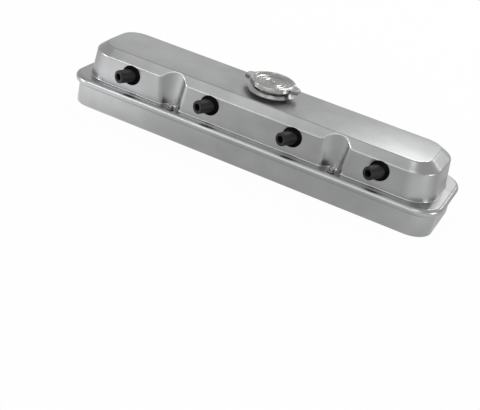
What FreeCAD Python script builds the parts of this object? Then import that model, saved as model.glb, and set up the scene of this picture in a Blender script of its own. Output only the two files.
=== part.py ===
import FreeCAD, Part
import math
import os
import Sketcher
from FreeCAD import Placement, Rotation, Vector

# Engine valve cover in two castings. A shallow base with a flat roof bolts to the
# cylinder head through four centre holes. A hollow top cover with a rolled lip sits
# over it, with four rubber wire boots in its front wall and a filler neck on top.
# X runs along the cover, -Y is the side with the boots, +Z is up, and the origin is
# the centre of the flat gasket rail.

# Driving sizes, in millimetres and degrees.
SIZES = {
    # bolts along the base
    "station_pitch": 111.76,
    # base casting
    "base_half_length": 243.7,
    "base_half_width": 59.4,
    "base_corner": 26.5,
    "base_height": 35.0,
    "roof_wall": 3.0,
    "rail_end_wall": 11.4,
    "rail_side_wall": 12.3,
    "cavity_shift": 2.0,
    "cavity_draft": 0.8,
    "bulge_depth": 7.0,
    "bulge_half_width": 19.0,
    "bulge_nose": 13.5,
    "inner_land": 3.4,
    "groove_width": 2.2,
    "groove_depth": 2.5,
    "outer_land": 3.4,
    "pocket_wall": 3.0,
    "pocket_depth": 27.0,
    "pocket_rib": 1.8,
    "pocket_from_x": 199.0,
    "pocket_from_y": 21.0,
    # bosses inside the base
    "boss_radius": 13.0,
    "boss_drop": 2.5,
    "bolt_hole": 5.7,
    "sleeve_outer": 8.8,
    "sleeve_wall": 1.2,
    "sleeve_reach": 4.0,
    "sleeve_sink": 2.5,
    "neck_boss_radius": 18.5,
    "neck_boss_rise": 5.0,
    # baffle
    "baffle_sheet": 1.5,
    "baffle_end_gap": 45.3,
    "baffle_corner": 6.0,
    "baffle_drop": 1.5,
    "baffle_top_edge": 3.5,
    "baffle_top_bend": 15.0,
    "baffle_low_bend": 37.5,
    "baffle_low": 10.0,
    "baffle_wall_gap": 1.6,
    "baffle_bend_round": 2.5,
    "baffle_scallop": 1.2,
    "baffle_screw_row": 9.0,
    "baffle_screw_inset": 3.6,
    "baffle_pad_radius": 4.2,
    "post_row_gap": 5.7,
    "post_radius": 6.0,
    "post_offset": 27.0,
    "post_inset": 7.0,
    "baffle_screw_radius": 1.5,
    "baffle_screw_head": 2.8,
    "baffle_screw_head_height": 1.7,
    "baffle_screw_dome_share": 0.6,
    "baffle_screw_shoulder_share": 0.7,
    "baffle_screw_bite": 2.8,
    # top cover: lip
    "lip_overhang": 5.3,
    "lip_wall": 2.5,
    "lip_drop": 7.5,
    "lip_roll": 4.6,
    "lip_round": 5.0,
    "lip_under_round": 4.2,
    # top cover: crown
    "crown_end_ledge": 8.8,
    "crown_side_ledge": 6.9,
    "crown_foot_corner": 34.0,
    "crown_foot_cove": 1.4,
    "crown_end_slope": 3.4,
    "crown_edge_corner": 35.0,
    "crown_edge_height": 72.5,
    "crown_edge_round": 1.4,
    "crown_edge_share": 0.09,
    "bevel_end_run": 13.4,
    "bevel_side_run": 14.0,
    "crown_top_corner": 22.0,
    "crown_top_shift": -4.5,
    "crown_top_height": 83.8,
    "crown_top_share": 0.2,
    "crown_wall": 3.0,
    "bevel_wall_share": 0.4,
    # flutes in the front of the crown
    "flute_half_pitch": 109.0,
    "flute_shift": 2.0,
    "flute_depth": 8.6,
    "flute_half_width": 22.0,
    "flute_shoulder": 11.0,
    "flute_foot_half_width": 17.5,
    "flute_foot_shoulder": 9.0,
    "flute_head_room": 8.0,
    "cover_screw_shift": 3.0,
    "cover_screw_out": 1.0,
    "cover_pad_radius": 8.0,
    "cover_pad_rise": 0.8,
    "cover_screw_radius": 2.0,
    "cover_screw_head": 3.6,
    "cover_screw_head_height": 3.2,
    "cover_screw_chamfer": 0.5,
    "cover_screw_key": 1.6,
    "cover_screw_key_depth": 1.8,
    "cover_screw_bite": 13.0,
    "washer_radius": 4.9,
    "washer_thickness": 0.9,
    # wire boots
    "boot_pitch": 110.9,
    "boot_shift": 1.3,
    "boot_height": 60.1,
    "boot_flange": 12.6,
    "boot_flange_thickness": 1.5,
    "boot_neck": 9.3,
    "boot_collar": 11.2,
    "boot_collar_thickness": 1.5,
    "boot_tube": 8.4,
    "boot_bore": 4.4,
    "boot_lean": 23.0,
    "boot_reach": 19.8,
    "boot_tip_round": 1.0,
    # filler ring and neck
    "ring_radius": 24.0,
    "ring_foot_radius": 26.9,
    "ring_cove_radius": 24.7,
    "ring_cove_rise": 1.6,
    "ring_rise": 4.7,
    "neck_bore": 14.0,
    "neck_wall": 2.5,
    "neck_below_roof": 4.0,
    "neck_collar_radius": 19.4,
    "neck_collar_thickness": 1.2,
    "neck_flange_radius": 22.8,
    "neck_flange_thickness": 1.5,
    "neck_flange_gap": 2.0,
    # filler cap
    "cap_sheet": 1.0,
    "cap_bend_share": 0.3,
    "cap_slope_share": 0.4,
    "cap_radius": 27.2,
    "cap_skirt_radius": 25.9,
    "cap_rim_rise": 3.3,
    "cap_shoulder_rise": 1.8,
    "cap_crest_outer": 25.6,
    "cap_crest_inner": 24.4,
    "cap_dish_edge": 22.3,
    "cap_ripple_rise": 0.7,
    "cap_ripple_outer": 17.5,
    "cap_ripple_inner": 12.0,
    "cap_ripple_slope": 1.2,
    "cap_seal_radius": 21.5,
    "cap_seal_thickness": 2.0,
    "cap_skirt_below": 1.9,
    "ear_reach": 35.6,
    "ear_root": 17.7,
    "ear_root_half_width": 20.4,
    "ear_half_width": 5.4,
    "ear_core": 25.7,
    "ear_fold": 5.6,
    "ear_sheet": 1.2,
    "ear_drop": 1.1,
    "tang_inner": 20.2,
    "tang_half_width": 4.0,
    "tang_thickness": 1.0,
    "tang_gap": 0.3,
    "tang_hanger_gap": 0.6,
    "tang_hanger_lap": 1.0,
    "tang_notch_gap": 0.9,
    "keeper_radius": 13.2,
    "keeper_thickness": 1.0,
    "rivet_radius": 1.8,
    "rivet_head": 3.3,
    "rivet_shoulder": 2.3,
    "rivet_head_height": 1.4,
    "rivet_edge_height": 0.6,
    # clearances
    "fit_gap": 0.05,
    "screw_clearance": 0.6,
    "face_skim": 0.05,
    "overcut": 1.0,
    "zero": 0.0,
}

# Sizes that follow from the driving ones.
DERIVED = {
    # outlines that follow the base
    "cavity_half_length": "=sizes.base_half_length - sizes.rail_end_wall",
    "cavity_half_width": "=sizes.base_half_width - sizes.rail_side_wall",
    "baffle_half_length": "=cavity_half_length - sizes.baffle_end_gap",
    "baffle_screw_end": "=baffle_half_length - sizes.baffle_screw_inset",
    "post_end": "=baffle_half_length - sizes.post_inset",
    "post_row": "=sizes.cavity_shift + cavity_half_width - sizes.post_row_gap",
    "crown_foot_half_length": "=sizes.base_half_length - sizes.crown_end_ledge",
    "crown_half_width": "=sizes.base_half_width - sizes.crown_side_ledge",
    "crown_edge_half_length": "=crown_foot_half_length - sizes.crown_end_slope",
    "crown_top_half_length": "=crown_edge_half_length - sizes.bevel_end_run",
    "crown_top_half_width": "=crown_half_width - sizes.bevel_side_run",
    "cover_screw_row": "=0 - crown_half_width - sizes.cover_screw_out",
    # base casting
    "roof_under": "=sizes.base_height - sizes.roof_wall",
    "boss_under": "=roof_under - sizes.boss_drop",
    "pocket_half_length": "=sizes.base_half_length - sizes.pocket_wall",
    "pocket_half_width": "=sizes.base_half_width - sizes.pocket_wall",
    "pocket_corner": "=sizes.base_corner - sizes.pocket_wall",
    # baffle and its screws
    "seat_under": "=roof_under - sizes.baffle_drop",
    "flange_under": "=seat_under - sizes.baffle_sheet",
    "post_under": "=sizes.baffle_low + sizes.baffle_sheet",
    "baffle_rear": "=sizes.cavity_shift + cavity_half_width - sizes.baffle_wall_gap"
                   " - sizes.cavity_draft",
    "baffle_half_width": "=(baffle_rear - sizes.baffle_top_edge) / 2 - sizes.face_skim",
    "baffle_middle": "=(baffle_rear + sizes.baffle_top_edge) / 2",
    "baffle_screw_tip": "=sizes.baffle_sheet + sizes.baffle_screw_bite",
    "baffle_screw_dome": "=sizes.baffle_screw_head_height * sizes.baffle_screw_dome_share",
    "baffle_screw_shoulder": "=sizes.baffle_screw_head * sizes.baffle_screw_shoulder_share",
    # top cover
    "ledge_top": "=sizes.base_height + sizes.lip_wall",
    "lip_under": "=sizes.base_height - sizes.lip_drop",
    "lip_half_length": "=sizes.base_half_length + sizes.lip_overhang",
    "lip_half_width": "=sizes.base_half_width + sizes.lip_overhang",
    "lip_corner": "=sizes.base_corner + sizes.lip_overhang",
    "skirt_half_length": "=lip_half_length - sizes.lip_roll",
    "skirt_half_width": "=lip_half_width - sizes.lip_roll",
    "skirt_corner": "=lip_corner - sizes.lip_roll",
    "crown_cove_top": "=ledge_top + sizes.crown_foot_cove",
    "foot_cove_half_length": "=crown_foot_half_length + sizes.crown_foot_cove",
    "foot_cove_half_width": "=crown_half_width + sizes.crown_foot_cove",
    "foot_cove_corner": "=sizes.crown_foot_corner + sizes.crown_foot_cove",
    "inner_half_width": "=crown_half_width - sizes.crown_wall",
    "inner_foot_half_length": "=crown_foot_half_length - sizes.crown_wall",
    "inner_foot_corner": "=sizes.crown_foot_corner - sizes.crown_wall",
    "inner_edge_half_length": "=crown_edge_half_length - sizes.crown_wall",
    "inner_edge_corner": "=sizes.crown_edge_corner - sizes.crown_wall",
    "inner_edge_height": "=sizes.crown_edge_height - sizes.crown_wall * sizes.bevel_wall_share",
    "inner_top_half_length": "=crown_top_half_length - sizes.crown_wall * sizes.bevel_wall_share",
    "inner_top_half_width": "=crown_top_half_width - sizes.crown_wall * sizes.bevel_wall_share",
    "inner_top_corner": "=sizes.crown_top_corner - sizes.crown_wall * sizes.bevel_wall_share",
    "inner_top_height": "=sizes.crown_top_height - sizes.crown_wall",
    "pad_top": "=ledge_top + sizes.cover_pad_rise",
    "cover_screw_length": "=sizes.washer_thickness + sizes.cover_pad_rise + sizes.lip_wall"
                          " + sizes.cover_screw_bite",
    "cover_screw_crown": "=sizes.cover_screw_head_height - sizes.cover_screw_chamfer",
    "cover_screw_shoulder": "=sizes.cover_screw_head - sizes.cover_screw_chamfer",
    "key_half": "=sizes.cover_screw_key / 2",
    "key_rise": "=sizes.cover_screw_key * sqrt(3) / 2",
    "washer_bore": "=sizes.cover_screw_radius + sizes.fit_gap",
    # filler ring and neck
    "neck_outer": "=sizes.neck_bore + sizes.neck_wall",
    "neck_low": "=roof_under - sizes.neck_below_roof",
    "ring_bore": "=neck_outer + sizes.fit_gap",
    "ring_top": "=sizes.crown_top_height + sizes.ring_rise",
    "ring_cove_height": "=sizes.crown_top_height + sizes.ring_cove_rise",
    "neck_collar_top": "=ring_top + sizes.neck_collar_thickness",
    "neck_flange_under": "=neck_collar_top + sizes.neck_flange_gap",
    "neck_top": "=neck_flange_under + sizes.neck_flange_thickness",
    # filler cap
    "cap_under": "=neck_top + sizes.cap_seal_thickness",
    "cap_face": "=cap_under + sizes.cap_sheet",
    "cap_ripple_top": "=cap_face + sizes.cap_ripple_rise",
    "cap_ripple_outer_foot": "=sizes.cap_ripple_outer + sizes.cap_ripple_slope",
    "cap_ripple_inner_foot": "=sizes.cap_ripple_inner - sizes.cap_ripple_slope",
    "cap_rim": "=cap_under + sizes.cap_rim_rise",
    "cap_shoulder": "=cap_under + sizes.cap_shoulder_rise",
    "cap_skirt_low": "=neck_top - sizes.cap_skirt_below",
    "cap_skirt_inner": "=sizes.cap_skirt_radius - sizes.cap_sheet",
    "cap_shoulder_inner": "=sizes.cap_radius - sizes.cap_sheet",
    "cap_shoulder_under": "=cap_shoulder - sizes.cap_sheet * sizes.cap_slope_share",
    "cap_crest_under": "=cap_rim - sizes.cap_sheet",
    "cap_crest_bend": "=sizes.cap_crest_outer - sizes.cap_sheet * sizes.cap_bend_share",
    "cap_crest_fold": "=sizes.cap_crest_inner + sizes.cap_sheet * sizes.cap_bend_share",
    "cap_seat_radius": "=sizes.cap_dish_edge + sizes.cap_sheet * sizes.cap_slope_share",
    "ear_top": "=cap_rim - sizes.ear_drop",
    "ear_under": "=ear_top - sizes.ear_sheet",
    "ear_fold_low": "=ear_top - sizes.ear_fold",
    "ear_fold_inner": "=sizes.ear_reach - sizes.ear_sheet",
    "tang_top": "=neck_flange_under - sizes.tang_gap",
    "tang_low": "=tang_top - sizes.tang_thickness",
    "tang_outer": "=sizes.cap_skirt_radius - sizes.cap_sheet / 2",
    "hanger_inner": "=sizes.neck_flange_radius + sizes.tang_hanger_gap",
    "hanger_length": "=cap_skirt_low + sizes.tang_hanger_lap - tang_low",
    "notch_half_width": "=sizes.tang_half_width + sizes.tang_notch_gap",
    "notch_inner": "=sizes.tang_inner - sizes.tang_notch_gap",
    "notch_outer": "=sizes.neck_flange_radius + sizes.tang_notch_gap",
    "rivet_hole": "=sizes.rivet_radius + sizes.fit_gap",
    "keeper_under": "=neck_top - sizes.keeper_thickness",
    "rivet_low": "=keeper_under - sizes.rivet_head_height",
    "rivet_low_edge": "=keeper_under - sizes.rivet_edge_height",
    "rivet_edge": "=cap_face + sizes.rivet_edge_height",
    "rivet_top": "=cap_face + sizes.rivet_head_height",
}

# Sections of the crown from its edge to its top: height, and share of the way along the bevel.
# The two outer thirds of each group round off the corner that the middle one lies under.
CROWN_LEVELS = {
    "edge_low": ("sizes.crown_edge_height - sizes.crown_edge_round", "0"),
    "edge_mid": ("sizes.crown_edge_height"
                 " + (crown_rise * sizes.crown_edge_share - sizes.crown_edge_round) / 4",
                 "sizes.crown_edge_share / 4"),
    "edge_high": ("sizes.crown_edge_height + crown_rise * sizes.crown_edge_share", "sizes.crown_edge_share"),
    "top_low": ("sizes.crown_top_height - crown_rise * sizes.crown_top_share", "1 - sizes.crown_top_share"),
    "top_mid": ("sizes.crown_top_height - crown_rise * sizes.crown_top_share / 4", "1"),
    "top_high": ("sizes.crown_top_height", "1 + sizes.crown_top_share"),
}
DERIVED["crown_rise"] = "=sizes.crown_top_height - sizes.crown_edge_height"
for level, (height, share) in CROWN_LEVELS.items():
    DERIVED[f"{level}_height"] = f"={height}"
    DERIVED[f"{level}_half_length"] = ("=crown_edge_half_length + (crown_top_half_length"
                                       f" - crown_edge_half_length) * ({share})")
    DERIVED[f"{level}_half_width"] = ("=crown_half_width + (crown_top_half_width"
                                      f" - crown_half_width) * ({share})")
    DERIVED[f"{level}_corner"] = ("=sizes.crown_edge_corner + (sizes.crown_top_corner"
                                  f" - sizes.crown_edge_corner) * ({share})")
    DERIVED[f"{level}_shift"] = f"=sizes.crown_top_shift * ({share})"

doc = FreeCAD.newDocument("valve_cover")
NODES = []


def make_sheet(name, cells):
    """A spreadsheet with one named cell for each entry."""
    sheet = doc.addObject("Spreadsheet::Sheet", name)
    for row, (alias, content) in enumerate(cells.items(), start=1):
        sheet.set(f"A{row}", alias)
        sheet.set(f"B{row}", str(content))
        sheet.setAlias(f"B{row}", alias)
    doc.recompute()
    return sheet


sizes = make_sheet("sizes", SIZES)
derived = make_sheet("derived", DERIVED)


def cell(name):
    """The expression that names a cell of either sheet, with its sign kept."""
    sign = "-" if name.startswith("-") else ""
    word = name.lstrip("-")
    sheet = "sizes" if word in SIZES else "derived"
    return f"{sign}{sheet}.{word}"


def size(name):
    """The value of a cell of either sheet, with its sign kept."""
    sign = -1.0 if name.startswith("-") else 1.0
    word = name.lstrip("-")
    sheet = sizes if word in SIZES else derived
    return sign * float(sheet.get(word))


def keep(item, label):
    """Marks an object as one of the finished sub-parts."""
    item.Label = label
    NODES.append(item)
    return item


def origin_plane(body, role):
    """The body's own origin plane with this role."""
    for feature in body.Origin.OriginFeatures:
        if feature.Role == role:
            return feature
    raise ValueError(role)


def new_body(name):
    """An empty PartDesign body."""
    return doc.addObject("PartDesign::Body", name)


def body_sketch(body, name, role, height=None):
    """A sketch on one of the body's origin planes, lifted to a height if one is given."""
    sketch = body.newObject("Sketcher::SketchObject", name)
    sketch.AttachmentSupport = [(origin_plane(body, role), "")]
    sketch.MapMode = "FlatFace"
    if height is not None:
        sketch.setExpression("AttachmentOffset.Base.z", height)
    return sketch


def fix_point(sketch, geometry, place, x_text, y_text):
    """Ties one point of a sketch to two expressions."""
    for kind, text in (("DistanceX", x_text), ("DistanceY", y_text)):
        at = sketch.getPoint(geometry, place)
        value = at.x if kind == "DistanceX" else at.y
        index = sketch.addConstraint(Sketcher.Constraint(kind, -1, 1, geometry, place, value))
        sketch.setExpression(f"Constraints[{index}]", text)


def polygon(sketch, points):
    """Closed straight-sided outline whose corners are named cells, each tied to its cells."""
    corners = [Vector(size(a), size(b), 0) for a, b in points]
    first = sketch.GeometryCount
    count = len(corners)
    for step in range(count):
        sketch.addGeometry(Part.LineSegment(corners[step], corners[(step + 1) % count]), False)
    for step in range(count):
        following = first + (step + 1) % count
        sketch.addConstraint(Sketcher.Constraint("Coincident", first + step, 2, following, 1))
    for step, (a, b) in enumerate(points):
        fix_point(sketch, first + step, 1, cell(a), cell(b))


def rounded_rectangle(sketch, half_x, half_y, corner, shift_y=None):
    """Rounded rectangle about the origin, or shifted along Y, tied to named cells."""
    a, b, r = size(half_x), size(half_y), size(corner)
    y = size(shift_y) if shift_y else 0.0
    inner_a, inner_b = a - r, b - r
    sides = [
        ((inner_a, b), (-inner_a, b)),
        ((-a, inner_b), (-a, -inner_b)),
        ((-inner_a, -b), (inner_a, -b)),
        ((a, -inner_b), (a, inner_b)),
    ]
    corners = [((-inner_a, inner_b), 90), ((-inner_a, -inner_b), 180), ((inner_a, -inner_b), 270),
               ((inner_a, inner_b), 0)]
    for start, end in sides:
        sketch.addGeometry(Part.LineSegment(Vector(start[0], start[1] + y, 0),
                                            Vector(end[0], end[1] + y, 0)), False)
    for (cx, cy), angle in corners:
        circle = Part.Circle(Vector(cx, cy + y, 0), Vector(0, 0, 1), r)
        begin = math.radians(angle)
        sketch.addGeometry(Part.ArcOfCircle(circle, begin, begin + math.pi / 2), False)
    for step in range(4):
        arc = 4 + step
        sketch.addConstraint(Sketcher.Constraint("Tangent", step, 2, arc, 1))
        sketch.addConstraint(Sketcher.Constraint("Tangent", arc, 2, (step + 1) % 4, 1))
    for step, way in enumerate(("Horizontal", "Vertical", "Horizontal", "Vertical")):
        sketch.addConstraint(Sketcher.Constraint(way, step))
    for step in range(1, 4):
        sketch.addConstraint(Sketcher.Constraint("Equal", 4, 4 + step))
    radius = sketch.addConstraint(Sketcher.Constraint("Radius", 4, r))
    sketch.setExpression(f"Constraints[{radius}]", cell(corner))
    middle = f" + {cell(shift_y)}" if shift_y else ""
    fix_point(sketch, 5, 3, f"-({cell(half_x)} - {cell(corner)})",
              f"-({cell(half_y)} - {cell(corner)}){middle}")
    fix_point(sketch, 7, 3, f"{cell(half_x)} - {cell(corner)}",
              f"{cell(half_y)} - {cell(corner)}{middle}")


def circle(sketch, x_text, y_text, x, y, radius):
    """A circle whose centre follows two expressions and whose radius follows a cell."""
    index = sketch.addGeometry(Part.Circle(Vector(x, y, 0), Vector(0, 0, 1), size(radius)), False)
    fix_point(sketch, index, 3, x_text, y_text)
    limit = sketch.addConstraint(Sketcher.Constraint("Radius", index, size(radius)))
    sketch.setExpression(f"Constraints[{limit}]", cell(radius))


def turned(body, points, name="profile"):
    """Revolves a half outline in the XZ plane about the body's Z axis."""
    sketch = body_sketch(body, name, "XZ_Plane")
    polygon(sketch, points)
    spin = body.newObject("PartDesign::Revolution", f"{name}_turned")
    spin.Profile = sketch
    spin.ReferenceAxis = (sketch, ["V_Axis"])
    spin.Angle = 360.0
    body.Tip = spin
    doc.recompute()
    return spin


def pad(body, sketch, length, name="pad"):
    """Pads a sketch by an expression."""
    feature = body.newObject("PartDesign::Pad", name)
    feature.Profile = sketch
    feature.setExpression("Length", length)
    body.Tip = feature
    return feature


def fillet_at_height(body, base, height, radius, name):
    """Rounds every edge of a feature that lies wholly at one height."""
    doc.recompute()
    tolerance = 1e-4
    edges = []
    for number, edge in enumerate(base.Shape.Edges, start=1):
        box = edge.BoundBox
        if abs(box.ZMin - height) < tolerance and abs(box.ZMax - height) < tolerance:
            edges.append(f"Edge{number}")
    feature = body.newObject("PartDesign::Fillet", name)
    feature.Base = (base, edges)
    feature.setExpression("Radius", cell(radius))
    body.Tip = feature
    return feature


def plain(name, shape):
    """A helper solid or outline whose form has no feature of its own."""
    item = doc.addObject("Part::Feature", name)
    item.Shape = shape
    return item


def cylinder(name, radius, height, place, axis=Vector(0, 0, 1)):
    """A cylinder tied to a radius expression and a height expression."""
    item = doc.addObject("Part::Cylinder", name)
    item.setExpression("Radius", radius)
    item.setExpression("Height", height)
    item.Placement = Placement(place, Rotation(Vector(0, 0, 1), axis))
    return item


def fused(name, parts):
    """Joins several solids into one."""
    item = doc.addObject("Part::MultiFuse", name)
    item.Shapes = parts
    return item


def cut(name, base, tool):
    """Takes one solid away from another."""
    item = doc.addObject("Part::Cut", name)
    item.Base = base
    item.Tool = tool
    return item


def common(name, parts):
    """Keeps what two solids share."""
    item = doc.addObject("Part::MultiCommon", name)
    item.Shapes = parts
    return item


def extruded(name, face, length):
    """Extrudes an outline upwards by an expression."""
    item = doc.addObject("Part::Extrusion", name)
    item.Base = face
    item.DirMode = "Custom"
    item.Dir = Vector(0, 0, 1)
    item.setExpression("LengthFwd", length)
    item.Solid = True
    return item


def stations():
    """Places along X of the four bolts of the base."""
    return [(index - 1.5) * size("station_pitch") for index in range(4)]


def bulge_places():
    """Places along X of the three bulges of the rail, midway between bolts."""
    return [(index - 1) * size("station_pitch") for index in range(3)]


def wave(x, base_y, depth, half_width, shoulder, nose, side):
    """Three tangent arcs that dip from a straight wall and return to it.

    The wall lies at base_y and the arcs dip towards -Y with side -1 or +Y with side +1.
    """
    shoulder_y = base_y + side * shoulder
    nose_y = base_y + side * (depth - nose)
    rise = shoulder_y - nose_y
    reach = math.hypot(half_width, rise)
    ux, uy = half_width / reach, rise / reach
    left_join = Vector(x - ux * nose, nose_y + uy * nose, 0)
    right_join = Vector(x + ux * nose, nose_y + uy * nose, 0)
    half_x, half_y = math.sin(math.atan2(ux, abs(uy)) / 2), math.cos(math.atan2(ux, abs(uy)) / 2)
    start = Vector(x - half_width, base_y, 0)
    end = Vector(x + half_width, base_y, 0)
    left_mid = Vector(x - half_width + shoulder * half_x, shoulder_y - side * shoulder * half_y, 0)
    right_mid = Vector(x + half_width - shoulder * half_x, shoulder_y - side * shoulder * half_y, 0)
    nose_mid = Vector(x, base_y + side * depth, 0)
    return [
        Part.Arc(start, left_mid, left_join).toShape(),
        Part.Arc(left_join, nose_mid, right_join).toShape(),
        Part.Arc(right_join, right_mid, end).toShape(),
    ]


def wave_sum(depth, half_width):
    """Sum of the two radii that make the arcs of a wave tangent."""
    return (half_width ** 2 + depth ** 2) / (2.0 * depth)


def rail_wire(grow, height, wavy=True):
    """Inner outline of the rail, grown outwards, with its three bulges on the +Y side."""
    half_width = size("cavity_half_width") + grow
    centre_x = size("cavity_half_length") - size("cavity_half_width")
    shift = size("cavity_shift")
    top, low = shift + half_width, shift - half_width
    edges = []
    x = -centre_x
    if wavy:
        nose = size("bulge_nose") - grow
        total = wave_sum(size("bulge_depth"), size("bulge_half_width"))
        shoulder = total - size("bulge_nose") + grow
        for place in bulge_places():
            left = place - size("bulge_half_width")
            edges.append(Part.LineSegment(Vector(x, top, 0), Vector(left, top, 0)).toShape())
            edges += wave(place, top, size("bulge_depth"), size("bulge_half_width"), shoulder, nose, -1)
            x = place + size("bulge_half_width")
    edges.append(Part.LineSegment(Vector(x, top, 0), Vector(centre_x, top, 0)).toShape())
    edges.append(Part.Arc(Vector(centre_x, top, 0), Vector(centre_x + half_width, shift, 0),
                          Vector(centre_x, low, 0)).toShape())
    edges.append(Part.LineSegment(Vector(centre_x, low, 0), Vector(-centre_x, low, 0)).toShape())
    edges.append(Part.Arc(Vector(-centre_x, low, 0), Vector(-centre_x - half_width, shift, 0),
                          Vector(-centre_x, top, 0)).toShape())
    wire = Part.Wire(edges)
    wire.translate(Vector(0, 0, height))
    return wire


def cavity_solid(name, grow, top):
    """The rail's inner outline as a tapered solid, from just below the rail up to a height."""
    draft = size("cavity_draft") * top / size("roof_under")
    sections = [plain(f"{name}_mouth", rail_wire(grow, 0.0)),
                plain(f"{name}_crown", rail_wire(grow - draft, top))]
    loft = doc.addObject("Part::Loft", name)
    loft.Sections = sections
    loft.Solid = True
    loft.Ruled = True
    return loft


def post_places():
    """Places along X of the eight posts beside the bulges and at the two ends."""
    places = [-size("post_end"), size("post_end")]
    for place in bulge_places():
        places += [place - size("post_offset"), place + size("post_offset")]
    return sorted(places)


def baffle_screw_places():
    """Place, head height, seat height and pad radius of each screw: the long row, then the short one."""
    places = [(x, size("post_row"), size("baffle_low"), size("post_under"), "post_radius")
              for x in post_places()]
    ends = size("baffle_screw_end")
    for x in (-ends, -size("station_pitch"), size("station_pitch"), ends):
        places.append((x, size("baffle_screw_row"), size("flange_under"), size("seat_under"),
                       "baffle_pad_radius"))
    return places


def corner_pockets():
    """Eight blind pockets round the ends of the rail, two at each corner beside a thin rib."""
    blank = new_body("pocket_blank")
    outline = body_sketch(blank, "pocket_outline", "XY_Plane")
    rounded_rectangle(outline, "pocket_half_length", "pocket_half_width", "pocket_corner")
    pad(blank, outline, cell("pocket_depth"), "pocket_pad")
    land = size("inner_land") + size("groove_width") + size("outer_land")
    ring = extruded("pocket_ring", plain("pocket_ring_face", Part.Face(rail_wire(land, 0.0, False))),
                    cell("pocket_depth"))
    long_block = doc.addObject("Part::Box", "pocket_side_stop")
    long_block.setExpression("Length", f"2 * {cell('pocket_from_x')}")
    long_block.setExpression("Width", f"2 * {cell('base_half_width')}")
    long_block.setExpression("Height", cell("pocket_depth"))
    long_block.setExpression("Placement.Base.x", f"-{cell('pocket_from_x')}")
    long_block.setExpression("Placement.Base.y", f"-{cell('base_half_width')}")
    end_block = doc.addObject("Part::Box", "pocket_end_stop")
    end_block.setExpression("Length", f"2 * {cell('base_half_length')}")
    end_block.setExpression("Width", f"2 * {cell('pocket_from_y')}")
    end_block.setExpression("Height", cell("pocket_depth"))
    end_block.setExpression("Placement.Base.x", f"-{cell('base_half_length')}")
    end_block.setExpression("Placement.Base.y", f"-{cell('pocket_from_y')}")
    centre_x = size("cavity_half_length") - size("cavity_half_width")
    ribs = []
    for index in range(4):
        rib = doc.addObject("Part::Box", f"pocket_rib_{index + 1}")
        rib.setExpression("Length", cell("base_half_width") + " * 2")
        rib.setExpression("Width", cell("pocket_rib"))
        rib.setExpression("Height", cell("pocket_depth"))
        angle = 45 + 90 * index
        side = 1 if index in (0, 3) else -1
        turn = Rotation(Vector(0, 0, 1), angle)
        rib.Placement = Placement(Vector(side * centre_x, 0, 0)
                                  + turn.multVec(Vector(0, -size("pocket_rib") / 2, 0)), turn)
        ribs.append(rib)
    return cut("corner_pockets", blank, fused("pocket_stops", [ring, long_block, end_block] + ribs))


def gasket_groove():
    """Narrow groove that follows the rail and its bulges."""
    inner = size("inner_land")
    outer = inner + size("groove_width")
    face = Part.Face(rail_wire(outer, 0.0)).cut(Part.Face(rail_wire(inner, 0.0)))
    return extruded("gasket_groove", plain("groove_face", face), cell("groove_depth"))


def make_base():
    """Base casting: rail, cavity, roof, bolt bosses, posts for the baffle and corner pockets."""
    body = new_body("base_block")
    outline = body_sketch(body, "base_outline", "XY_Plane")
    rounded_rectangle(outline, "base_half_length", "base_half_width", "base_corner")
    pad(body, outline, cell("base_height"), "base_pad")
    doc.recompute()
    cavity = cavity_solid("cavity", 0.0, size("roof_under"))
    hollow = cut("base_hollow", body, fused("base_recesses",
                                            [cavity, gasket_groove(), corner_pockets()]))
    face = size("boss_under")
    height = f"{cell('base_height')} - {cell('boss_under')}"
    bosses = [cylinder(f"bolt_boss_{i + 1}", cell("boss_radius"), height, Vector(x, 0, face))
              for i, x in enumerate(stations())]
    bosses.append(cylinder("neck_boss", cell("neck_boss_radius"),
                           f"{height} + {cell('neck_boss_rise')}", Vector(0, 0, face)))
    pads = [cylinder(f"baffle_post_{i + 1}", cell(radius), f"{cell('base_height')} - {under}",
                     Vector(x, y, under))
            for i, (x, y, low, under, radius) in enumerate(baffle_screw_places())]
    solid = fused("base_solid", [hollow] + bosses + pads)
    through = f"2 * {cell('base_height')}"
    holes = [cylinder(f"bolt_hole_{i + 1}", cell("bolt_hole"), through, Vector(x, 0, 0))
             for i, x in enumerate(stations())]
    for i, x in enumerate((stations()[0], stations()[3])):
        holes.append(cylinder(f"sleeve_seat_{i + 1}", f"{cell('sleeve_outer')} + {cell('fit_gap')}",
                              f"{cell('sleeve_sink')} + {cell('boss_under')}", Vector(x, 0, 0)))
    holes.append(cylinder("neck_hole", cell("ring_bore"), through, Vector(0, 0, 0)))
    holes += [cylinder(f"baffle_thread_{i + 1}", f"{cell('baffle_screw_radius')} + {cell('fit_gap')}",
                       f"{cell('baffle_screw_bite')} + {cell('fit_gap')}", Vector(x, y, under))
              for i, (x, y, low, under, radius) in enumerate(baffle_screw_places())]
    top = size("base_height")
    for i, x in enumerate(cover_screw_places()):
        depth = f"{cell('cover_screw_bite')} + {cell('fit_gap')}"
        holes.append(cylinder(f"cover_thread_{i + 1}", f"{cell('cover_screw_radius')} + {cell('fit_gap')}",
                              depth, Vector(x, size("cover_screw_row"), top), Vector(0, 0, -1)))
    return keep(cut("base_casting", solid, fused("base_holes", holes)), "base_casting")


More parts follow.
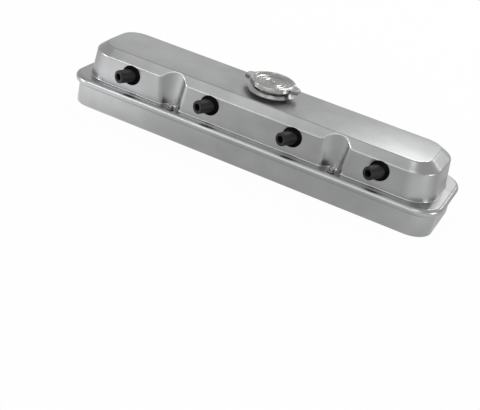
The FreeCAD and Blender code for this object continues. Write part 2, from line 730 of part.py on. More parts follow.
def make_sleeves():
    """Thin sleeves set into the two end bolt bosses."""
    for i, x in enumerate((stations()[0], stations()[3])):
        body = new_body(f"bolt_sleeve_{i + 1}")
        sketch = body_sketch(body, f"sleeve_circles_{i + 1}", "XY_Plane")
        circle(sketch, "0", "0", 0, 0, "sleeve_outer")
        inner = sketch.addGeometry(Part.Circle(Vector(0, 0, 0), Vector(0, 0, 1),
                                               size("sleeve_outer") - size("sleeve_wall")), False)
        sketch.addConstraint(Sketcher.Constraint("Coincident", 0, 3, inner, 3))
        limit = sketch.addConstraint(Sketcher.Constraint("Radius", inner,
                                                         size("sleeve_outer") - size("sleeve_wall")))
        sketch.setExpression(f"Constraints[{limit}]", f"{cell('sleeve_outer')} - {cell('sleeve_wall')}")
        pad(body, sketch, f"{cell('sleeve_reach')} + {cell('sleeve_sink')}", f"sleeve_pad_{i + 1}")
        body.Placement = Placement(Vector(x, 0, size("boss_under") - size("sleeve_reach")), Rotation())
        keep(body, f"bolt_sleeve_{i + 1}")


def bend_edges(solid, corners):
    """Long edges of the folded sheet at the given corners of its section."""
    found = []
    for edge in solid.Edges:
        box = edge.BoundBox
        for y, z in corners:
            if box.XLength > size("baffle_half_length") and abs(box.YMin - y) + abs(box.ZMin - z) < 1e-4:
                found.append(edge)
    return found


def folded_sheet():
    """Straight folded sheet: a top flange, a sloping panel and a low flange, with round bends."""
    sheet, seat, low = size("baffle_sheet"), size("seat_under"), size("baffle_low")
    edge, top_bend, low_bend = size("baffle_top_edge"), size("baffle_top_bend"), size("baffle_low_bend")
    far, half = size("base_half_width"), size("baffle_half_length")
    slope = math.atan2(seat - sheet - low, low_bend - top_bend)
    miter = sheet * math.tan(slope / 2)
    outer_top, inner_top = (top_bend + miter, seat), (top_bend, seat - sheet)
    inner_low, outer_low = (low_bend + miter, low + sheet), (low_bend, low)
    corners = [(edge, seat), outer_top, inner_low, (far, low + sheet), (far, low), outer_low,
               inner_top, (edge, seat - sheet)]
    points = [Vector(-half, y, z) for y, z in corners]
    solid = Part.Face(Part.makePolygon(points + points[:1])).extrude(Vector(2 * half, 0, 0))
    bend = size("baffle_bend_round")
    solid = solid.makeFillet(bend, bend_edges(solid, (inner_top, inner_low)))
    return solid.makeFillet(bend + sheet, bend_edges(solid, (outer_top, outer_low)))


def make_baffle():
    """Bent sheet baffle, trimmed to the wavy wall and cut back round the bosses and the neck."""
    bent = plain("baffle_bent", folded_sheet())
    grow = -size("baffle_wall_gap") - size("cavity_draft")
    trim = extruded("baffle_trim", plain("baffle_trim_face", Part.Face(rail_wire(grow, 0.0))),
                    cell("base_height"))
    frame = new_body("baffle_frame")
    outline = body_sketch(frame, "baffle_outline", "XY_Plane")
    rounded_rectangle(outline, "baffle_half_length", "baffle_half_width", "baffle_corner", "baffle_middle")
    pad(frame, outline, cell("base_height"), "baffle_pad")
    blank = common("baffle_blank", [common("baffle_framed", [bent, frame]), trim])
    tools = [cylinder(f"baffle_scallop_{i + 1}", f"{cell('boss_radius')} + {cell('baffle_scallop')}",
                      cell("base_height"), Vector(x, 0, 0)) for i, x in enumerate(stations())]
    tools.append(cylinder("baffle_neck_scallop", f"{cell('neck_boss_radius')} + {cell('baffle_scallop')}",
                          cell("base_height"), Vector(0, 0, 0)))
    sheet = size("baffle_sheet")
    tools += [cylinder(f"baffle_hole_{i + 1}",
                       f"{cell('baffle_screw_radius')} + {cell('screw_clearance')} / 2",
                       f"3 * {cell('baffle_sheet')}", Vector(x, y, low - sheet))
              for i, (x, y, low, under, radius) in enumerate(baffle_screw_places())]
    return keep(cut("baffle_plate", blank, fused("baffle_cuts", tools)), "baffle_plate")


def make_baffle_screws():
    """Twelve small domed screws that hold the baffle."""
    for i, (x, y, low, under, radius) in enumerate(baffle_screw_places()):
        name = f"baffle_screw_{i + 1:02d}"
        body = new_body(name)
        turned(body, [("zero", "-baffle_screw_head_height"), ("baffle_screw_shoulder", "-baffle_screw_dome"),
                      ("baffle_screw_head", "zero"), ("baffle_screw_radius", "zero"),
                      ("baffle_screw_radius", "baffle_screw_tip"), ("zero", "baffle_screw_tip")],
               f"{name}_profile")
        body.Placement = Placement(Vector(x, y, low), Rotation())
        keep(body, name)


def flute_places():
    """Places along X of the two flutes in the front wall."""
    half = size("flute_half_pitch")
    return [size("flute_shift") - half, size("flute_shift") + half]


def cover_screw_places():
    """Places along X of the two screws at the feet of the flutes."""
    return [x + size("cover_screw_shift") for x in flute_places()]


def flute_outline(x, offset, height):
    """Section of a flute at a height, with its wall moved back by an offset."""
    foot, edge = size("ledge_top"), size("crown_edge_height")
    share = (height - foot) / (edge - foot)
    half = size("flute_foot_half_width") * (1 - share) + size("flute_half_width") * share
    round_off = size("flute_foot_shoulder") * (1 - share) + size("flute_shoulder") * share
    face = -size("crown_half_width") + offset - size("face_skim")
    nose = wave_sum(size("flute_depth"), half) - round_off
    arcs = wave(x, face, size("flute_depth"), half, round_off - offset, nose + offset, 1)
    outside = -2 * size("base_half_width")
    corners = [Vector(x + half, face, 0), Vector(x + half, outside, 0), Vector(x - half, outside, 0),
               Vector(x - half, face, 0)]
    lines = [Part.LineSegment(a, b).toShape() for a, b in zip(corners, corners[1:])]
    wire = Part.Wire(arcs + lines)
    wire.translate(Vector(0, 0, height))
    return wire


def flute_solid(name, x, offset, bottom):
    """Flute in the front wall, wider at its head than at its foot."""
    top = size("crown_top_height") + size("flute_head_room")
    loft = doc.addObject("Part::Loft", name)
    loft.Sections = [plain(f"{name}_foot", flute_outline(x, offset, bottom)),
                     plain(f"{name}_head", flute_outline(x, offset, top))]
    loft.Solid = True
    loft.Ruled = True
    return loft


def crown_loft(body, name, levels):
    """Ruled loft through one rounded rectangle for each level."""
    sketches = []
    for index, (height, half_x, half_y, corner, shift) in enumerate(levels):
        sketch = body_sketch(body, f"{name}_section_{index + 1}", "XY_Plane", height)
        rounded_rectangle(sketch, half_x, half_y, corner, shift)
        sketches.append(sketch)
    loft = body.newObject("PartDesign::AdditiveLoft", f"{name}_loft")
    loft.Profile = sketches[0]
    loft.Sections = sketches[1:]
    loft.Ruled = True
    body.Tip = loft
    doc.recompute()
    return loft


def make_lip():
    """Flat ledge whose edge rolls down outside the base."""
    body = new_body("lip_plate")
    outline = body_sketch(body, "lip_outline", "XY_Plane", cell("lip_under"))
    rounded_rectangle(outline, "lip_half_length", "lip_half_width", "lip_corner")
    block = pad(body, outline, f"{cell('lip_drop')} + {cell('lip_wall')}", "lip_pad")
    top = fillet_at_height(body, block, size("ledge_top"), "lip_round", "lip_rounded")
    fillet_at_height(body, top, size("lip_under"), "lip_under_round", "lip_rolled")
    return body


def make_crown_outside():
    """Outside of the crown: coved foot, upright wall, bevel and flat top, with soft corners."""
    body = new_body("crown_outside")
    cove = ("foot_cove_half_length", "foot_cove_half_width", "foot_cove_corner", None)
    levels = [
        (cell("base_height"),) + cove,
        (cell("ledge_top"),) + cove,
        (cell("crown_cove_top"), "crown_foot_half_length", "crown_half_width", "crown_foot_corner", None),
    ]
    for level in CROWN_LEVELS:
        levels.append((cell(f"{level}_height"), f"{level}_half_length", f"{level}_half_width",
                       f"{level}_corner", f"{level}_shift"))
    crown_loft(body, "crown", levels)
    return body


def make_crown_inside():
    """Hollow of the crown, one wall thickness inside it."""
    body = new_body("crown_inside")
    levels = [
        (cell("base_height"), "inner_foot_half_length", "inner_half_width", "inner_foot_corner", None),
        (cell("inner_edge_height"), "inner_edge_half_length", "inner_half_width", "inner_edge_corner", None),
        (cell("inner_top_height"), "inner_top_half_length", "inner_top_half_width", "inner_top_corner",
         "crown_top_shift"),
    ]
    crown_loft(body, "hollow", levels)
    return body


def make_filler_ring():
    """Raised ring on the crown that carries the filler neck."""
    body = new_body("filler_ring")
    turned(body, [("ring_bore", "inner_top_height"), ("ring_foot_radius", "inner_top_height"),
                  ("ring_foot_radius", "crown_top_height"), ("ring_cove_radius", "ring_cove_height"),
                  ("ring_radius", "ring_top"), ("ring_bore", "ring_top")], "ring")
    return body


def make_top_cover():
    """Top cover: lip, crown with two flutes, filler ring, screw pads and boot holes."""
    flutes = [flute_solid(f"flute_{i + 1}", x, 0.0, size("ledge_top"))
              for i, x in enumerate(flute_places())]
    outside = cut("crown_fluted", make_crown_outside(), fused("flutes", flutes))
    backs = [flute_solid(f"flute_back_{i + 1}", x, size("crown_wall"), size("base_height"))
             for i, x in enumerate(flute_places())]
    inside = cut("hollow_fluted", make_crown_inside(), fused("flute_backs", backs))
    skirt_body = new_body("lip_hollow")
    below = f"{cell('lip_under')} - {cell('overcut')}"
    skirt = body_sketch(skirt_body, "lip_hollow_outline", "XY_Plane", below)
    rounded_rectangle(skirt, "skirt_half_length", "skirt_half_width", "skirt_corner")
    pad(skirt_body, skirt, f"{cell('lip_drop')} + {cell('overcut')}", "lip_hollow_pad")
    row = size("cover_screw_row")
    pads = [cylinder(f"cover_pad_{i + 1}", cell("cover_pad_radius"),
                     f"{cell('lip_wall')} + {cell('cover_pad_rise')}", Vector(x, row, size("base_height")))
            for i, x in enumerate(cover_screw_places())]
    solid = fused("cover_solid", [make_lip(), outside, make_filler_ring()] + pads)
    tools = [inside, skirt_body]
    tools += [cylinder(f"cover_hole_{i + 1}", f"{cell('cover_screw_radius')} + {cell('screw_clearance')}",
                       f"4 * {cell('lip_wall')}", Vector(x, row, size("base_height") - size("lip_wall")))
              for i, x in enumerate(cover_screw_places())]
    tools.append(cylinder("ring_hole", cell("ring_bore"), cell("crown_top_height"),
                          Vector(0, 0, size("base_height"))))
    front = -size("crown_half_width") - size("crown_wall")
    tools += [cylinder(f"boot_hole_{i + 1}", f"{cell('boot_neck')} + {cell('fit_gap')}",
                       f"3 * {cell('crown_wall')}", Vector(x, front, size("boot_height")), Vector(0, 1, 0))
              for i, x in enumerate(boot_places())]
    return keep(cut("top_cover", solid, fused("cover_cuts", tools)), "top_cover")


def boot_places():
    """Places along X of the four wire boots."""
    return [(index - 1.5) * size("boot_pitch") + size("boot_shift") for index in range(4)]


def make_boots():
    """Rubber boots: flange outside, collar inside and a hollow tube that leans along the cover."""
    lean = math.radians(size("boot_lean"))
    way = Vector(-math.sin(lean), -math.cos(lean), 0)
    front, height = -size("crown_half_width"), size("boot_height")
    wall = size("crown_wall")
    for i, x in enumerate(boot_places()):
        name = f"wire_boot_{i + 1}"
        outward, inward = Vector(0, -1, 0), Vector(0, 1, 0)
        flange = cylinder(f"{name}_flange", cell("boot_flange"), cell("boot_flange_thickness"),
                          Vector(x, front, height), outward)
        neck = cylinder(f"{name}_neck", cell("boot_neck"),
                        f"{cell('crown_wall')} + {cell('boot_collar_thickness')}",
                        Vector(x, front, height), inward)
        collar = cylinder(f"{name}_collar", cell("boot_collar"), cell("boot_collar_thickness"),
                          Vector(x, front + wall, height), inward)
        centre = Vector(x, front, height)
        start = centre - way * size("boot_flange")
        tube = Part.makeCylinder(size("boot_tube"), size("boot_flange") + size("boot_reach"), start, way)
        tip = [edge for edge in tube.Edges if (edge.CenterOfMass - start).Length > size("boot_flange") * 1.2
               and len(edge.Vertexes) == 1]
        tube = tube.makeFillet(size("boot_tip_round"), tip)
        keep_out = Part.makeBox(4 * size("boot_flange"), 4 * size("boot_flange"), 4 * size("boot_flange"),
                                Vector(x - 2 * size("boot_flange"), front, height - 2 * size("boot_flange")))
        outer = plain(f"{name}_tube", tube.cut(keep_out))
        solid = fused(f"{name}_solid", [flange, neck, collar, outer])
        bore = cylinder(f"{name}_bore", cell("boot_bore"), f"4 * {cell('boot_reach')}",
                        centre - way * (2 * size("boot_reach")), way)
        keep(cut(name, solid, bore), name)


def make_cover_screws():
    """Socket head screw and washer at the foot of each flute."""
    row, top = size("cover_screw_row"), size("pad_top")
    for i, x in enumerate(cover_screw_places()):
        washer = new_body(f"cover_washer_{i + 1}")
        turned(washer, [("washer_bore", "zero"), ("washer_radius", "zero"),
                        ("washer_radius", "washer_thickness"), ("washer_bore", "washer_thickness")],
               f"washer_{i + 1}")
        washer.Placement = Placement(Vector(x, row, top), Rotation())
        keep(washer, f"cover_washer_{i + 1}")
        screw = new_body(f"cover_screw_{i + 1}")
        turned(screw, [("zero", "-cover_screw_length"), ("cover_screw_radius", "-cover_screw_length"),
                       ("cover_screw_radius", "zero"), ("cover_screw_head", "zero"),
                       ("cover_screw_head", "cover_screw_crown"),
                       ("cover_screw_shoulder", "cover_screw_head_height"),
                       ("zero", "cover_screw_head_height")], f"screw_{i + 1}")
        key = body_sketch(screw, f"key_{i + 1}", "XY_Plane", cell("cover_screw_head_height"))
        polygon(key, [("cover_screw_key", "zero"), ("key_half", "key_rise"), ("-key_half", "key_rise"),
                      ("-cover_screw_key", "zero"), ("-key_half", "-key_rise"), ("key_half", "-key_rise")])
        recess = screw.newObject("PartDesign::Pocket", f"key_recess_{i + 1}")
        recess.Profile = key
        recess.setExpression("Length", cell("cover_screw_key_depth"))
        screw.Tip = recess
        screw.Placement = Placement(Vector(x, row, top + size("washer_thickness")), Rotation())
        keep(screw, f"cover_screw_{i + 1}")


def make_neck():
    """Filler neck: a tube through both castings with a collar and a notched flange for the cap."""
    body = new_body("filler_neck")
    turned(body, [("neck_bore", "neck_low"), ("neck_outer", "neck_low"), ("neck_outer", "ring_top"),
                  ("neck_collar_radius", "ring_top"), ("neck_collar_radius", "neck_collar_top"),
                  ("neck_outer", "neck_collar_top"), ("neck_outer", "neck_flange_under"),
                  ("neck_flange_radius", "neck_flange_under"), ("neck_flange_radius", "neck_top"),
                  ("neck_bore", "neck_top")], "neck")
    notch = body_sketch(body, "neck_notches", "XY_Plane", cell("neck_top"))
    for sign in ("", "-"):
        inner, outer = f"{sign}notch_inner", f"{sign}notch_outer"
        polygon(notch, [("-notch_half_width", inner), ("notch_half_width", inner),
                        ("notch_half_width", outer), ("-notch_half_width", outer)])
    recess = body.newObject("PartDesign::Pocket", "neck_notch_cut")
    recess.Profile = notch
    recess.setExpression("Length", cell("neck_flange_thickness"))
    body.Tip = recess
    return keep(body, "filler_neck")


def make_cap():
    """Filler cap: rippled dish with a skirt, two folded ears and two tangs under the neck flange."""
    dish = new_body("cap_dish")
    turned(dish, [
        ("rivet_hole", "cap_under"), ("cap_seat_radius", "cap_under"), ("cap_crest_fold", "cap_crest_under"),
        ("cap_crest_bend", "cap_crest_under"), ("cap_shoulder_inner", "cap_shoulder_under"),
        ("cap_skirt_inner", "cap_skirt_low"), ("cap_skirt_radius", "cap_skirt_low"),
        ("cap_radius", "cap_shoulder"), ("cap_crest_outer", "cap_rim"), ("cap_crest_inner", "cap_rim"),
        ("cap_dish_edge", "cap_face"), ("cap_ripple_outer_foot", "cap_face"),
        ("cap_ripple_outer", "cap_ripple_top"), ("cap_ripple_inner", "cap_ripple_top"),
        ("cap_ripple_inner_foot", "cap_face"), ("rivet_hole", "cap_face")], "cap")
    ears = new_body("cap_ears")
    outline = body_sketch(ears, "ear_outline", "XY_Plane", cell("ear_under"))
    polygon(outline, [("ear_reach", "ear_half_width"), ("ear_root", "ear_root_half_width"),
                      ("-ear_root", "ear_root_half_width"), ("-ear_reach", "ear_half_width"),
                      ("-ear_reach", "-ear_half_width"), ("-ear_root", "-ear_root_half_width"),
                      ("ear_root", "-ear_root_half_width"), ("ear_reach", "-ear_half_width")])
    pad(ears, outline, cell("ear_sheet"), "ear_pad")
    core = cylinder("ear_core", cell("ear_core"), cell("cap_rim"), Vector(0, 0, 0))
    parts = [dish, cut("cap_ear_plates", ears, core)]
    for name, inner, outer, half, low, length in (
            ("fold", "ear_fold_inner", "ear_reach", "ear_half_width", "ear_fold_low", "ear_fold"),
            ("tang", "tang_inner", "tang_outer", "tang_half_width", "tang_low", "tang_thickness"),
            ("hanger", "hanger_inner", "tang_outer", "tang_half_width", "tang_low", "hanger_length")):
        for side, sign in (("right", ""), ("left", "-")):
            body = new_body(f"cap_{name}_{side}")
            sketch = body_sketch(body, f"{name}_outline_{side}", "XY_Plane", cell(low))
            polygon(sketch, [(f"{sign}{inner}", f"-{half}"), (f"{sign}{outer}", f"-{half}"),
                             (f"{sign}{outer}", half), (f"{sign}{inner}", half)])
            pad(body, sketch, cell(length), f"{name}_pad_{side}")
            parts.append(body)
    keep(fused("cap_shell", parts), "cap_shell")
    seal = new_body("cap_gasket")
    turned(seal, [("rivet_hole", "neck_top"), ("cap_seal_radius", "neck_top"),
                  ("cap_seal_radius", "cap_under"), ("rivet_hole", "cap_under")], "seal")
    keep(seal, "cap_gasket")
    keeper = new_body("cap_keeper")
    turned(keeper, [("rivet_hole", "keeper_under"), ("keeper_radius", "keeper_under"),
                    ("keeper_radius", "neck_top"), ("rivet_hole", "neck_top")], "keeper")
    keep(keeper, "cap_keeper")
    rivet = new_body("cap_rivet")
    turned(rivet, [("zero", "rivet_low"), ("rivet_shoulder", "rivet_low"), ("rivet_head", "rivet_low_edge"),
                   ("rivet_head", "keeper_under"), ("rivet_radius", "keeper_under"),
                   ("rivet_radius", "cap_face"), ("rivet_head", "cap_face"), ("rivet_head", "rivet_edge"),
                   ("rivet_shoulder", "rivet_top"), ("zero", "rivet_top")], "rivet")
    keep(rivet, "cap_rivet")


def check_and_export():
    """Stops on any failed object, then writes one STEP file for each sub-part."""
    doc.recompute()
    for item in doc.Objects:
        if "Invalid" in item.State or "Error" in item.State:
            raise RuntimeError(f"{item.Name} ({item.Label}) failed: {item.State}")
    for item in NODES:
        shape = item.Shape
        if shape.isNull() or not shape.isValid() or not shape.Solids:
            raise RuntimeError(f"{item.Label} has no valid solid")
    for item in NODES:
        item.Shape.exportStep(f"parts/{item.Label}.step")
        box = item.Shape.BoundBox
        print(f"{item.Label}: {len(item.Shape.Solids)} solid, {item.Shape.Volume:.0f} mm3, "
              f"x {box.XMin:.1f} {box.XMax:.1f} y {box.YMin:.1f} {box.YMax:.1f} "
              f"z {box.ZMin:.1f} {box.ZMax:.1f}")


def main():
    """Builds every sub-part and writes it."""
    make_base()
    make_sleeves()
    make_baffle()
    make_baffle_screws()
    make_top_cover()
    make_boots()
    make_cover_screws()
    make_neck()
    make_cap()
    check_and_export()


os.makedirs("parts", exist_ok=True)
main()
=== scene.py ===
"""Looks of the engine valve cover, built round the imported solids."""
import logging
import math
from dataclasses import dataclass
from enum import Enum
from typing import Callable, Mapping, Sequence

import bmesh
import bpy
import numpy as np
from mathutils import Matrix, Vector


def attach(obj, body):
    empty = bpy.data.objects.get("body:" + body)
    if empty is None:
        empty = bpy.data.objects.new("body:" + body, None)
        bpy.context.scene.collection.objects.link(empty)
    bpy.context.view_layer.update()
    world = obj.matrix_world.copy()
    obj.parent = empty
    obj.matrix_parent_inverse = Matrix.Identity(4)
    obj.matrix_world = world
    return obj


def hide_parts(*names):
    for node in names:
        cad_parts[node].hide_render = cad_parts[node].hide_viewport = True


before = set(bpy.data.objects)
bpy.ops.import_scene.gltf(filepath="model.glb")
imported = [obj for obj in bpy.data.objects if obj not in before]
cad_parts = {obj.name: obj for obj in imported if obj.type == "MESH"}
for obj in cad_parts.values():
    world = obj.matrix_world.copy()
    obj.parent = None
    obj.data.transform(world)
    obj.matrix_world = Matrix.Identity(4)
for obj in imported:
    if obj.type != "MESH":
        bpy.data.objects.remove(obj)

MM = 0.001
LOG = logging.getLogger("valve_cover")
Pair = tuple[float, float]
Triple = tuple[float, float, float]
Loop = np.ndarray
Shape = tuple[np.ndarray, list[tuple[int, ...]]]
Rule = Callable[[np.ndarray], np.ndarray]
Material = bpy.types.Material
Node = bpy.types.Node
Object = bpy.types.Object
Socket = bpy.types.NodeSocket


class Body(Enum):
    """Bodies that a piece can ride on."""

    COVER = "cover"
    CAP = "filler_cap"


class Slot(Enum):
    """Material slots of the record."""

    CAST = "cast_aluminium"
    SHEET = "baffle_metal"
    TURNED = "turned_steel"
    PLATED = "screw_steel"
    RUBBER = "black_rubber"
    CHROME = "cap_chrome"


class Tree:
    """A node tree with short calls for adding and joining its nodes."""

    def __init__(self, tree: bpy.types.NodeTree) -> None:
        """Keeps the tree that the nodes go into."""
        self.tree = tree

    def fill(self, node: Node, inputs: Mapping[str | int, object]) -> None:
        """Fills a node's inputs.

        Args:
            node: the node.
            inputs: for each input a fixed value, or another node's output.
        """
        for key, value in inputs.items():
            if isinstance(value, Socket):
                self.tree.links.new(value, node.inputs[key])
            else:
                node.inputs[key].default_value = value

    def add(self, kind: str, inputs: Mapping[str | int, object] | None = None, **settings: object) -> Node:
        """Adds a node.

        Args:
            kind: the node's type name.
            inputs: what goes into its inputs.
            settings: its properties.

        Returns:
            The new node.
        """
        node = self.tree.nodes.new(kind)
        for key, value in settings.items():
            setattr(node, key, value)
        self.fill(node, inputs or {})
        return node

    def maths(self, kind: str, *values: Socket | float) -> Socket:
        """The result of one sum on sockets and fixed numbers."""
        return self.add("ShaderNodeMath", dict(enumerate(values)), operation=kind).outputs["Value"]

    def choose(self, factor: Socket, low: Socket | float, high: Socket | float) -> Socket:
        """The value low where the factor is 0 and high where it is 1."""
        rest = self.maths("MULTIPLY", low, self.maths("SUBTRACT", 1.0, factor))
        return self.maths("ADD", self.maths("MULTIPLY", high, factor), rest)

    def rays(self) -> tuple[Socket, Socket]:
        """Factors for the rays of the camera, and for all rays that are seen.

        Returns:
            1 for camera rays, and 1 for camera, glossy and transmission rays.
        """
        path = self.add("ShaderNodeLightPath").outputs
        seen = self.maths("MAXIMUM", path["Is Camera Ray"], path["Is Glossy Ray"])
        return path["Is Camera Ray"], self.maths("MAXIMUM", seen, path["Is Transmission Ray"])


# Finishes


class Bench(Tree):
    """A material's tree, with its shader and the patterns that the finishes share."""

    def __init__(self, name: str) -> None:
        """Starts a material.

        Args:
            name: the material's name.
        """
        self.material = bpy.data.materials.new(name)
        self.material.use_nodes = True
        super().__init__(self.material.node_tree)
        self.tree.nodes.clear()
        self.shader = self.add("ShaderNodeBsdfPrincipled")
        self.output = self.add("ShaderNodeOutputMaterial", {"Surface": self.shader.outputs["BSDF"]})
        self.place = self.add("ShaderNodeTexCoord").outputs["Object"]

    def mapped(self, scale: Triple, shift: Triple = (0.0, 0.0, 0.0)) -> Socket:
        """The object's own coordinates, scaled and then shifted."""
        inputs = {"Vector": self.place, "Scale": scale, "Location": shift}
        return self.add("ShaderNodeMapping", inputs).outputs["Vector"]

    def along(self, axis: str) -> Socket:
        """One of the object's own coordinates."""
        return self.add("ShaderNodeSeparateXYZ", {"Vector": self.place}).outputs[axis]

    def noise(self, scale: float, detail: float, stretch: Triple | None = None) -> Socket:
        """A noise pattern on the object's own coordinates.

        Args:
            scale: features for each metre.
            detail: how many finer layers it has.
            stretch: scale of the coordinates on each axis, for streaks, or None for none.

        Returns:
            The factor.
        """
        place = self.mapped(stretch) if stretch else self.place
        inputs = {"Scale": scale, "Detail": detail, "Roughness": 0.55, "Vector": place}
        return self.add("ShaderNodeTexNoise", inputs).outputs["Fac"]

    def rings(self, scale: float) -> Socket:
        """Slightly uneven lathe rings about the upright axis, so many for each metre."""
        inputs = {"Scale": scale, "Distortion": 1.2, "Detail": 3.0, "Vector": self.place}
        return self.add("ShaderNodeTexWave", inputs, wave_type="RINGS", rings_direction="Z").outputs["Fac"]

    def span(self, source: Socket, low: float, high: float, begin: float = 0.3, end: float = 0.7) -> Socket:
        """Maps a factor onto a range.

        Args:
            source: the factor.
            low: value at the range's start.
            high: value at its end.
            begin: factor that gives low.
            end: factor that gives high.

        Returns:
            The mapped value.
        """
        inputs = {"Value": source, "From Min": begin, "From Max": end, "To Min": low, "To Max": high}
        return self.add("ShaderNodeMapRange", inputs).outputs["Result"]

    def blend(self, factor: Socket, first: Socket | Sequence[float], second: Sequence[float]) -> Socket:
        """Mixes two colours.

        Args:
            factor: share of the second colour.
            first: colour at 0.
            second: colour at 1.

        Returns:
            The mixed colour.
        """
        start = first if isinstance(first, Socket) else (*first, 1.0)
        inputs = {"Factor": factor, "A": start, "B": (*second, 1.0)}
        return self.add("ShaderNodeMix", inputs, data_type="RGBA").outputs["Result"]

    def relief(self, strength: float, *layers: tuple[Socket, float]) -> None:
        """Turns height patterns into a bump on the shader.

        Args:
            strength: share of the bump that is used.
            layers: each pattern with its depth in metres.
        """
        normal: dict[str, Socket] = {}
        for source, depth in layers:
            inputs = {"Strength": strength, "Distance": depth, "Height": source, **normal}
            normal = {"Normal": self.add("ShaderNodeBump", inputs).outputs["Normal"]}
        self.fill(self.shader, normal)


def scaled(tint: Triple, share: float) -> tuple[float, ...]:
    """A colour made lighter or darker."""
    return tuple(min(1.0, channel * share) for channel in tint)


@dataclass(frozen=True)
class CastFinish:
    """Satin polished casting with cloudy tone and fine grain."""

    name: str
    tint: Triple
    roughness: float
    tone: float = 0.06
    grain: float = 0.00002
    machined_below: float | None = None

    def build(self) -> Material:
        """Makes the material.

        Returns:
            The material.
        """
        bench = Bench(self.name)
        smear = bench.span(bench.noise(60.0, 4.0, (0.35, 1.0, 1.0)), 0.85, 1.15)
        marks = bench.span(bench.maths("MULTIPLY", bench.noise(26.0, 5.0), smear), 0.0, 1.0, 0.35, 0.65)
        colour = bench.blend(marks, scaled(self.tint, 1.0 - self.tone), scaled(self.tint, 1.0 + self.tone))
        rough = bench.span(bench.noise(45.0, 3.0), self.roughness - 0.02, self.roughness + 0.02)
        if self.machined_below is not None:
            low = bench.span(bench.along("Z"), 1.0, 0.0, self.machined_below, self.machined_below * 1.5)
            colour = bench.blend(low, colour, scaled(self.tint, 1.25))
            inputs = {"Factor": low, "A": rough, "B": self.roughness - 0.12}
            rough = bench.add("ShaderNodeMix", inputs, data_type="FLOAT").outputs["Result"]
        bench.fill(bench.shader, {"Metallic": 1.0, "Base Color": colour, "Roughness": rough})
        bench.relief(0.5, (bench.noise(70.0, 2.0), self.grain))
        return bench.material


@dataclass(frozen=True)
class SheetFinish:
    """Dull rolled sheet with faint lines along its length."""

    name: str
    tint: Triple
    roughness: float
    grain: float = 0.00002

    def build(self) -> Material:
        """Makes the material.

        Returns:
            The material.
        """
        bench = Bench(self.name)
        lines = bench.noise(500.0, 3.0, (0.02, 1.0, 1.0))
        cloud = bench.span(bench.noise(30.0, 4.0), 0.0, 1.0)
        bench.fill(bench.shader, {
            "Metallic": 1.0,
            "Base Color": bench.blend(cloud, scaled(self.tint, 0.93), scaled(self.tint, 1.07)),
            "Roughness": bench.span(lines, self.roughness - 0.06, self.roughness + 0.08)})
        bench.relief(0.4, (lines, self.grain), (bench.noise(900.0, 2.0), self.grain))
        return bench.material


@dataclass(frozen=True)
class TurnedFinish:
    """Lathe-turned or plated steel, with rings about the upright axis and small stains."""

    name: str
    tint: Triple
    roughness: float
    stain: Triple
    rings: float = 260.0
    depth: float = 0.00001

    def build(self) -> Material:
        """Makes the material.

        Returns:
            The material.
        """
        bench = Bench(self.name)
        spots = bench.span(bench.noise(220.0, 5.0), 0.0, 1.0, 0.45, 0.75)
        bench.fill(bench.shader, {
            "Metallic": 1.0,
            "Base Color": bench.blend(spots, self.tint, self.stain),
            "Roughness": bench.span(bench.noise(160.0, 4.0), self.roughness - 0.04, self.roughness + 0.07)})
        bench.relief(0.4, (bench.rings(self.rings), self.depth), (bench.noise(1200.0, 2.0), self.depth))
        return bench.material


@dataclass(frozen=True)
class RubberFinish:
    """Moulded rubber with a faint bloom, duller on its collars behind a line across the cover."""

    name: str
    tint: Triple
    roughness: float
    dull_from: float = -0.0548
    grain: float = 0.00005

    def build(self) -> Material:
        """Makes the material.

        Returns:
            The material.
        """
        bench = Bench(self.name)
        bloom = bench.span(bench.noise(120.0, 5.0), 0.0, 1.0, 0.45, 0.8)
        bench.fill(bench.shader, {
            "Metallic": 0.0,
            "Base Color": bench.blend(bloom, self.tint, scaled(self.tint, 2.2)),
            "Roughness": bench.span(bench.noise(260.0, 4.0), self.roughness - 0.07, self.roughness + 0.07),
            "Specular IOR Level": bench.span(bench.along("Y"), 0.3, 0.0,
                                             self.dull_from - 0.002, self.dull_from)})
        bench.relief(0.5, (bench.noise(1600.0, 3.0), self.grain))
        return bench.material


class Finishes:
    """Every finish of the cover, each made once."""

    def __init__(self) -> None:
        """Builds the materials."""
        grey = (0.36, 0.362, 0.366)
        self.crown = CastFinish("satin_casting", grey, 0.30).build()
        self.base = CastFinish("base_casting", grey, 0.32, machined_below=0.0006).build()
        self.sheet = SheetFinish("rolled_sheet", (0.48, 0.47, 0.455), 0.34).build()
        self.turned = TurnedFinish("turned_steel", (0.42, 0.42, 0.42), 0.26, (0.30, 0.28, 0.25)).build()
        self.plated = TurnedFinish("plated_steel", (0.33, 0.328, 0.32), 0.22, (0.27, 0.265, 0.25)).build()
        self.rubber = RubberFinish("black_rubber", (0.005, 0.005, 0.0055), 0.5).build()
        self.chrome = TurnedFinish("polished_cap", (0.38, 0.377, 0.37), 0.19, (0.33, 0.327, 0.32),
                                   rings=420.0, depth=0.0000001).build()


# Mesh tools


def mesh_object(name: str, points: np.ndarray, faces: Sequence[Sequence[int]]) -> Object:
    """Makes an object from points in millimetres.

    Args:
        name: the object's name.
        points: rows of x, y, z in millimetres.
        faces: point indices of each face.

    Returns:
        The linked object.
    """
    mesh = bpy.data.meshes.new(name)
    mesh.from_pydata((np.asarray(points, float) * MM).tolist(), [], [list(face) for face in faces])
    mesh.validate()
    obj = bpy.data.objects.new(name, mesh)
    bpy.context.scene.collection.objects.link(obj)
    return obj


